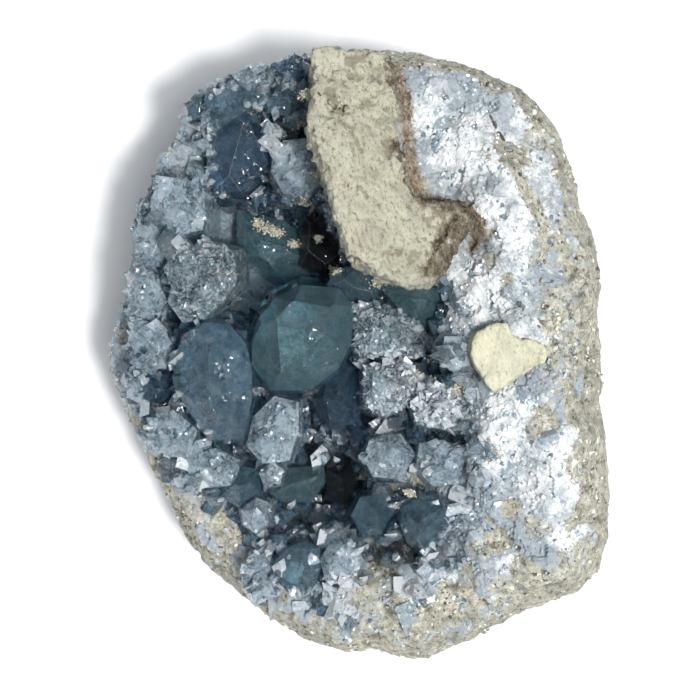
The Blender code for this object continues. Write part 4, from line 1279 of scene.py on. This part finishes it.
small = {"pale": [], "blue": [], "teal": [], "navy": [], "milky": []}
for x, y, point, normal in crust_grid(SMALL_SPACING):
    if rng.random() < share_at(MARL_PLACES, x, y) * BARE_SHARE:
        continue
    rim = rim_share(point) + rng.uniform(-RIM_SPREAD, RIM_SPREAD)
    radius = SMALL_RADIUS[0] + (SMALL_RADIUS[1] - SMALL_RADIUS[0]) * rng.random() ** 2
    at_edge = not all(ground(x + ex, y + ey) for ex, ey in EDGE_PROBES)
    if at_edge:
        radius = min(radius, EDGE_RADIUS)
        rim = 1.0
    depth_in_large, tone_of_large = max((inside_depth(c[0], x, y), c[5]) for c in LARGE_CRYSTALS)
    if tone_of_large == "pale" and depth_in_large > 0 and rng.random() < OVERGROWN_SHARE:
        radius *= OVERGROWN_RADIUS
        rim = 1.0
    elif depth_in_large > (RIM_OVERLAP if rim > RIM_OVERLAP else OVERLAP * radius):
        continue
    up = skewed(-DOWN, EDGE_SKEW) if at_edge else skewed(normal + UPWARD, SKEW)
    place = point - normal * radius * (rng.uniform(0.35, 1.0) + EDGE_SUNK * at_edge)
    rim += rng.uniform(-TONE_SPREAD, TONE_SPREAD)
    if rng.random() < FROSTY_SHARE:
        rim = 1.0
    matrix = turned(up, radius)
    number = rng.randrange(len(shapes))
    shade = rng.random() ** (PALER_POWER if y < PALER_BELOW else 1.0)
    small[small_tone(rim, place, x, y)].append((number, matrix, place, shade))
every = held([(tone, *crystal) for tone, crystals in small.items() for crystal in crystals])
for tone in small:
    gathered("small_crystals_" + tone, [c[1:] for c in every if c[0] == tone], TONES[tone])

# %% [markdown]
# Druse on the broken crystals
#
# A few large crystals are chipped all over. Their tops glitter, because each tiny face lies at its
# own angle. They get a skin of very small crystals, half sunk.

# %% Scatter the druse
DRUSE_SPACING = 0.62
DRUSE_RADIUS = (0.22, 0.55)
DRUSE_SKEW = 0.7
DRUSE_FORM = (1.4, 0.8, 1)
DRUSE_MARGIN = 0.2
PALE_DRUSE_PLACES = ((5.5, -5, 5), (12, -7.5, 3.5))
druse = {"glitter": [], "milky": []}
glittering = [c[0] for c in LARGE_CRYSTALS if c[5] == "glitter"]
for x, y, point, normal in crust_grid(DRUSE_SPACING):
    if max(inside_depth(outline, x, y) for outline in glittering) < DRUSE_MARGIN:
        continue
    radius = rng.uniform(*DRUSE_RADIUS)
    matrix = turned(skewed(normal, DRUSE_SKEW), radius, DRUSE_FORM)
    place = point - normal * radius * rng.uniform(0.2, 0.8)
    tone = "milky" if share_at(PALE_DRUSE_PLACES, x, y) > 0.5 else "glitter"
    druse[tone].append((rng.randrange(SHAPE_COUNT), matrix, place, rng.random()))
for tone, crystals in druse.items():
    gathered("druse_" + tone, crystals, TONES[tone])

# %% [markdown]
# Large cleavage blocks in the wall
#
# Here and there the wall's celestite is coarse, and shows a grey, translucent cleavage face a few
# millimetres across. These are flat blocks, sunk until only their faces show.

# %% Set the blocks in the wall
WALL_BLOCKS = ((15.5, 8, 3.0), (14.2, 3.5, 2.4), (17, 0.5, 2.0), (19.5, -5.5, 2.4), (25.5, -6, 2.6),
               (35, -4.5, 1.7), (31.5, -8, 1.8), (15.5, -14.5, 2.2), (22, -17, 2.2), (30, 17.5, 2.2),
               (27, 22, 2.0), (12, 33, 2.0), (15, 42, 2.4), (31, 26, 2.0), (14, -28, 2.0),
               (19, -26.5, 1.8), (29, -13, 1.8), (24.5, 11.5, 1.8), (13.5, 38, 1.6), (8, -42.5, 1.8))
BLOCK_SUNK = 0.6
BLOCK_SKEW = 0.35
BLOCK_FORM = (1.5, 1, 0.8)
BLOCK_SHADES = (0.4, 0.9)


def pick_block():
    """The number of one of the fragment shapes."""
    return rng.randrange(SHAPE_COUNT, SHAPE_COUNT + BLOCK_COUNT)


blocks = []
for x, y, radius in WALL_BLOCKS:
    point, normal, _ = ground(x, y)
    matrix = turned(skewed(normal, BLOCK_SKEW), radius, BLOCK_FORM)
    blocks.append((pick_block(), matrix, point - normal * radius * BLOCK_SUNK,
                   rng.uniform(*BLOCK_SHADES)))
gathered("wall_crystals", blocks, TONES["pale"])

# %% [markdown]
# Sugary grains on the wall
#
# The wall's massive celestite breaks into grains of less than a millimetre with flat, glinting
# faces. Most are frosty, white or grey, some are clear, and they lie at every angle. Where the lump
# turns to marl, the grains become tan crumbs, and round the hollow they grow into small crystals.
# The fine surface's own points serve as places, so the steep sides get their share too.

# %% Scatter grains over the lump
GRAIN_SHARE = 0.17
GRAIN_RADIUS = (0.2, 0.5)
CLEAR_SHARE = 0.2
MARL_SHARE = 0.96
CRUMB_SHARE = 0.5
CRUMB_CLUSTER = 2.5
CRUMB_SIZE = 0.8
RIM_REACH = 6.0
RIM_GROWTH = 2
RIM_SUNK = 0.3
GRAIN_FLOOR = 3.0
SEAM_CLEAR = 0.25
GRAIN_SKEW = 1.4
GRAIN_FORM = (1, 1, 0.7)
CRUMB_STOPS = ((0.05, MARL_DARK), (0.2, MARL_GREY), (0.55, MARL_TAN), (0.9, MARL_PALE))


def grain_material(name, size, stops, roughness):
    """Grains whose own shade picks their colour, with fine mottling."""
    material, tree, shader = new_material(name)
    shade = attribute(tree, "shade", (size, 0.9))
    feed(tree, shader, {"Base Color": ramp(tree, shade, *stops), "Roughness": roughness})
    return material


def fragment(normal, radius, place, shade=None):
    """A fragment at a random tilt, with its own shade unless one is given."""
    number = pick_block()
    matrix = turned(skewed(normal, GRAIN_SKEW), radius, GRAIN_FORM)
    return number, matrix, place, rng.random() if shade is None else shade


frosty, clear, crumbs, rim_crystals = [], [], [], []
for i, point in enumerate(rock_points):
    if rng.random() > GRAIN_SHARE or hollow_share[i] or point[2] < GRAIN_FLOOR:
        continue
    if seam_share[i] > SEAM_CLEAR:
        continue
    normal, place = Vector(rock_normals[i]), Vector(point)
    nearest = (place - trees["crystal_crust"].find_nearest(place * MM)[0] / MM).length
    rim = max(0, 1 - nearest / RIM_REACH)
    radius = rng.uniform(*GRAIN_RADIUS)
    if rng.random() < rim ** 2 * (1 - bare_share[i]):
        radius *= 1 + RIM_GROWTH * rim
        rim_crystals.append(fragment(normal, radius, place - normal * radius * RIM_SUNK))
    elif rng.random() < marl_share[i] * MARL_SHARE:
        if rng.random() < CRUMB_SHARE and noise.noise(place / CRUMB_CLUSTER) > 0:
            crumbs.append(fragment(normal, radius * CRUMB_SIZE, place))
    elif rng.random() < CLEAR_SHARE:
        clear.append(fragment(normal, radius, place))
    else:
        shade = 0.1 + 0.8 * white_share[i] + rng.uniform(-0.2, 0.2)
        frosty.append(fragment(normal, radius, place, min(1, max(0, shade))))
gathered("rim_crystals", rim_crystals, TONES["pale"])

# %% [markdown]
# Tan dust
#
# Dust and crumbs of marl lie on the crystals below the slab, where the marl has crumbled. Small
# clouds of fragments round a few places are enough for that.

# %% Drop crumbs on the crystals
DUST_PLACES = ((-17.0, 22.6, 0.8), (-15.4, 21.8, 1.0), (-13.8, 21.0, 0.8), (-10.9, 19.2, 0.7),
               (-7.0, 20.0, 0.6), (-9.0, 25.2, 1.3), (-7.5, 29.5, 0.9), (-10.5, 38.5, 1.2),
               (-8.5, 42.0, 1.0), (-4.0, 14.5, 1.0), (3.0, 12.5, 1.2), (9.5, -3.0, 1.2),
               (15.0, -5.0, 1.5), (8.0, -21.5, 0.8), (-17.5, 39.2, 0.8))
DUST_COUNT = 150
DUST_RADIUS = (0.05, 0.2)
DUST_SPREAD = (0.6, 0.45)
DUST_SKEW = 1.5
DUST_SHADES = (0.2, 0.8)
DUST_LIFT = 0.3
for x, y, spread in DUST_PLACES:
    for _ in range(DUST_COUNT):
        found = crust_at(rng.gauss(x, spread * DUST_SPREAD[0]),
                         rng.gauss(y, spread * DUST_SPREAD[1]))
        if not found:
            continue
        point, normal = found
        radius = rng.uniform(*DUST_RADIUS)
        matrix = turned(skewed(normal, DUST_SKEW), radius, GRAIN_FORM)
        place = point + normal * radius * DUST_LIFT
        crumbs.append((pick_block(), matrix, place, rng.uniform(*DUST_SHADES)))
print(len(crumbs), "crumbs with the dust")

# %% [markdown]
# Small crystals on the rim's outer sides
#
# Where the lump was broken open, the outer sides of the rim's large crystals are grown over with
# small ones too. Places are drawn on those faces, and any that lie in the rock or in a neighbour
# are passed over.

# %% Cover the outer sides
SIDE_DENSITY = 0.55
SIDE_RADIUS = (0.3, 0.75)
SIDE_SUNK = (0.5, 1.0)
SIDE_SKEW = 0.7
SIDE_UP = 0.8
side_crystals = []
for number, corners, normal, area in outer_faces:
    for _ in range(round(area * SIDE_DENSITY)):
        k = rng.randrange(1, len(corners) - 1)
        u, v = sorted((rng.random(), rng.random()))
        point = corners[0] * u + corners[k] * (v - u) + corners[k + 1] * (1 - v)
        if inside(point * MM, trees["host_rock"]) > 0:
            continue
        if any(inside(point, tree) > 0 for i, tree in enumerate(large_trees) if i != number):
            continue
        radius = rng.uniform(*SIDE_RADIUS)
        matrix = turned(skewed(normal - DOWN * SIDE_UP, SIDE_SKEW), radius)
        place = point - normal * radius * rng.uniform(*SIDE_SUNK)
        side_crystals.append((rng.randrange(len(shapes)), matrix, place, rng.random()))
gathered("side_crystals", side_crystals, TONES["pale"])
gathered("sugary_grains_frosty", frosty,
         grain_material("frosty_grains", 0.4, CELESTITE_STOPS, 0.25))
gathered("sugary_grains_clear", clear, TONES["pale"])
gathered("marl_crumbs", crumbs, grain_material("marl_crumbs", 0.5, CRUMB_STOPS, MARL_ROUGHNESS))

# %% [markdown]
# The floor
#
# The lump lies on a plain white surface, large enough that its edge is never seen.

# %% Lay the floor
FLOOR_HALF = 1.5
FLOOR_WHITE = (0.90, 0.90, 0.91)
FLOOR_ROUGHNESS = 0.8
floor_mesh = bpy.data.meshes.new("floor")
corners = [(FLOOR_HALF * x, FLOOR_HALF * y, 0) for x, y in ((-1, -1), (1, -1), (1, 1), (-1, 1))]
floor_mesh.from_pydata(corners, [], [(0, 1, 2, 3)])
floor = linked("floor", floor_mesh)
floor_material, floor_tree, floor_shader = new_material("floor")
feed(floor_tree, floor_shader, {"Base Color": (*FLOOR_WHITE, 1), "Roughness": FLOOR_ROUGHNESS})
floor_mesh.materials.append(floor_material)
print("floor", 2 * FLOOR_HALF, "m across")
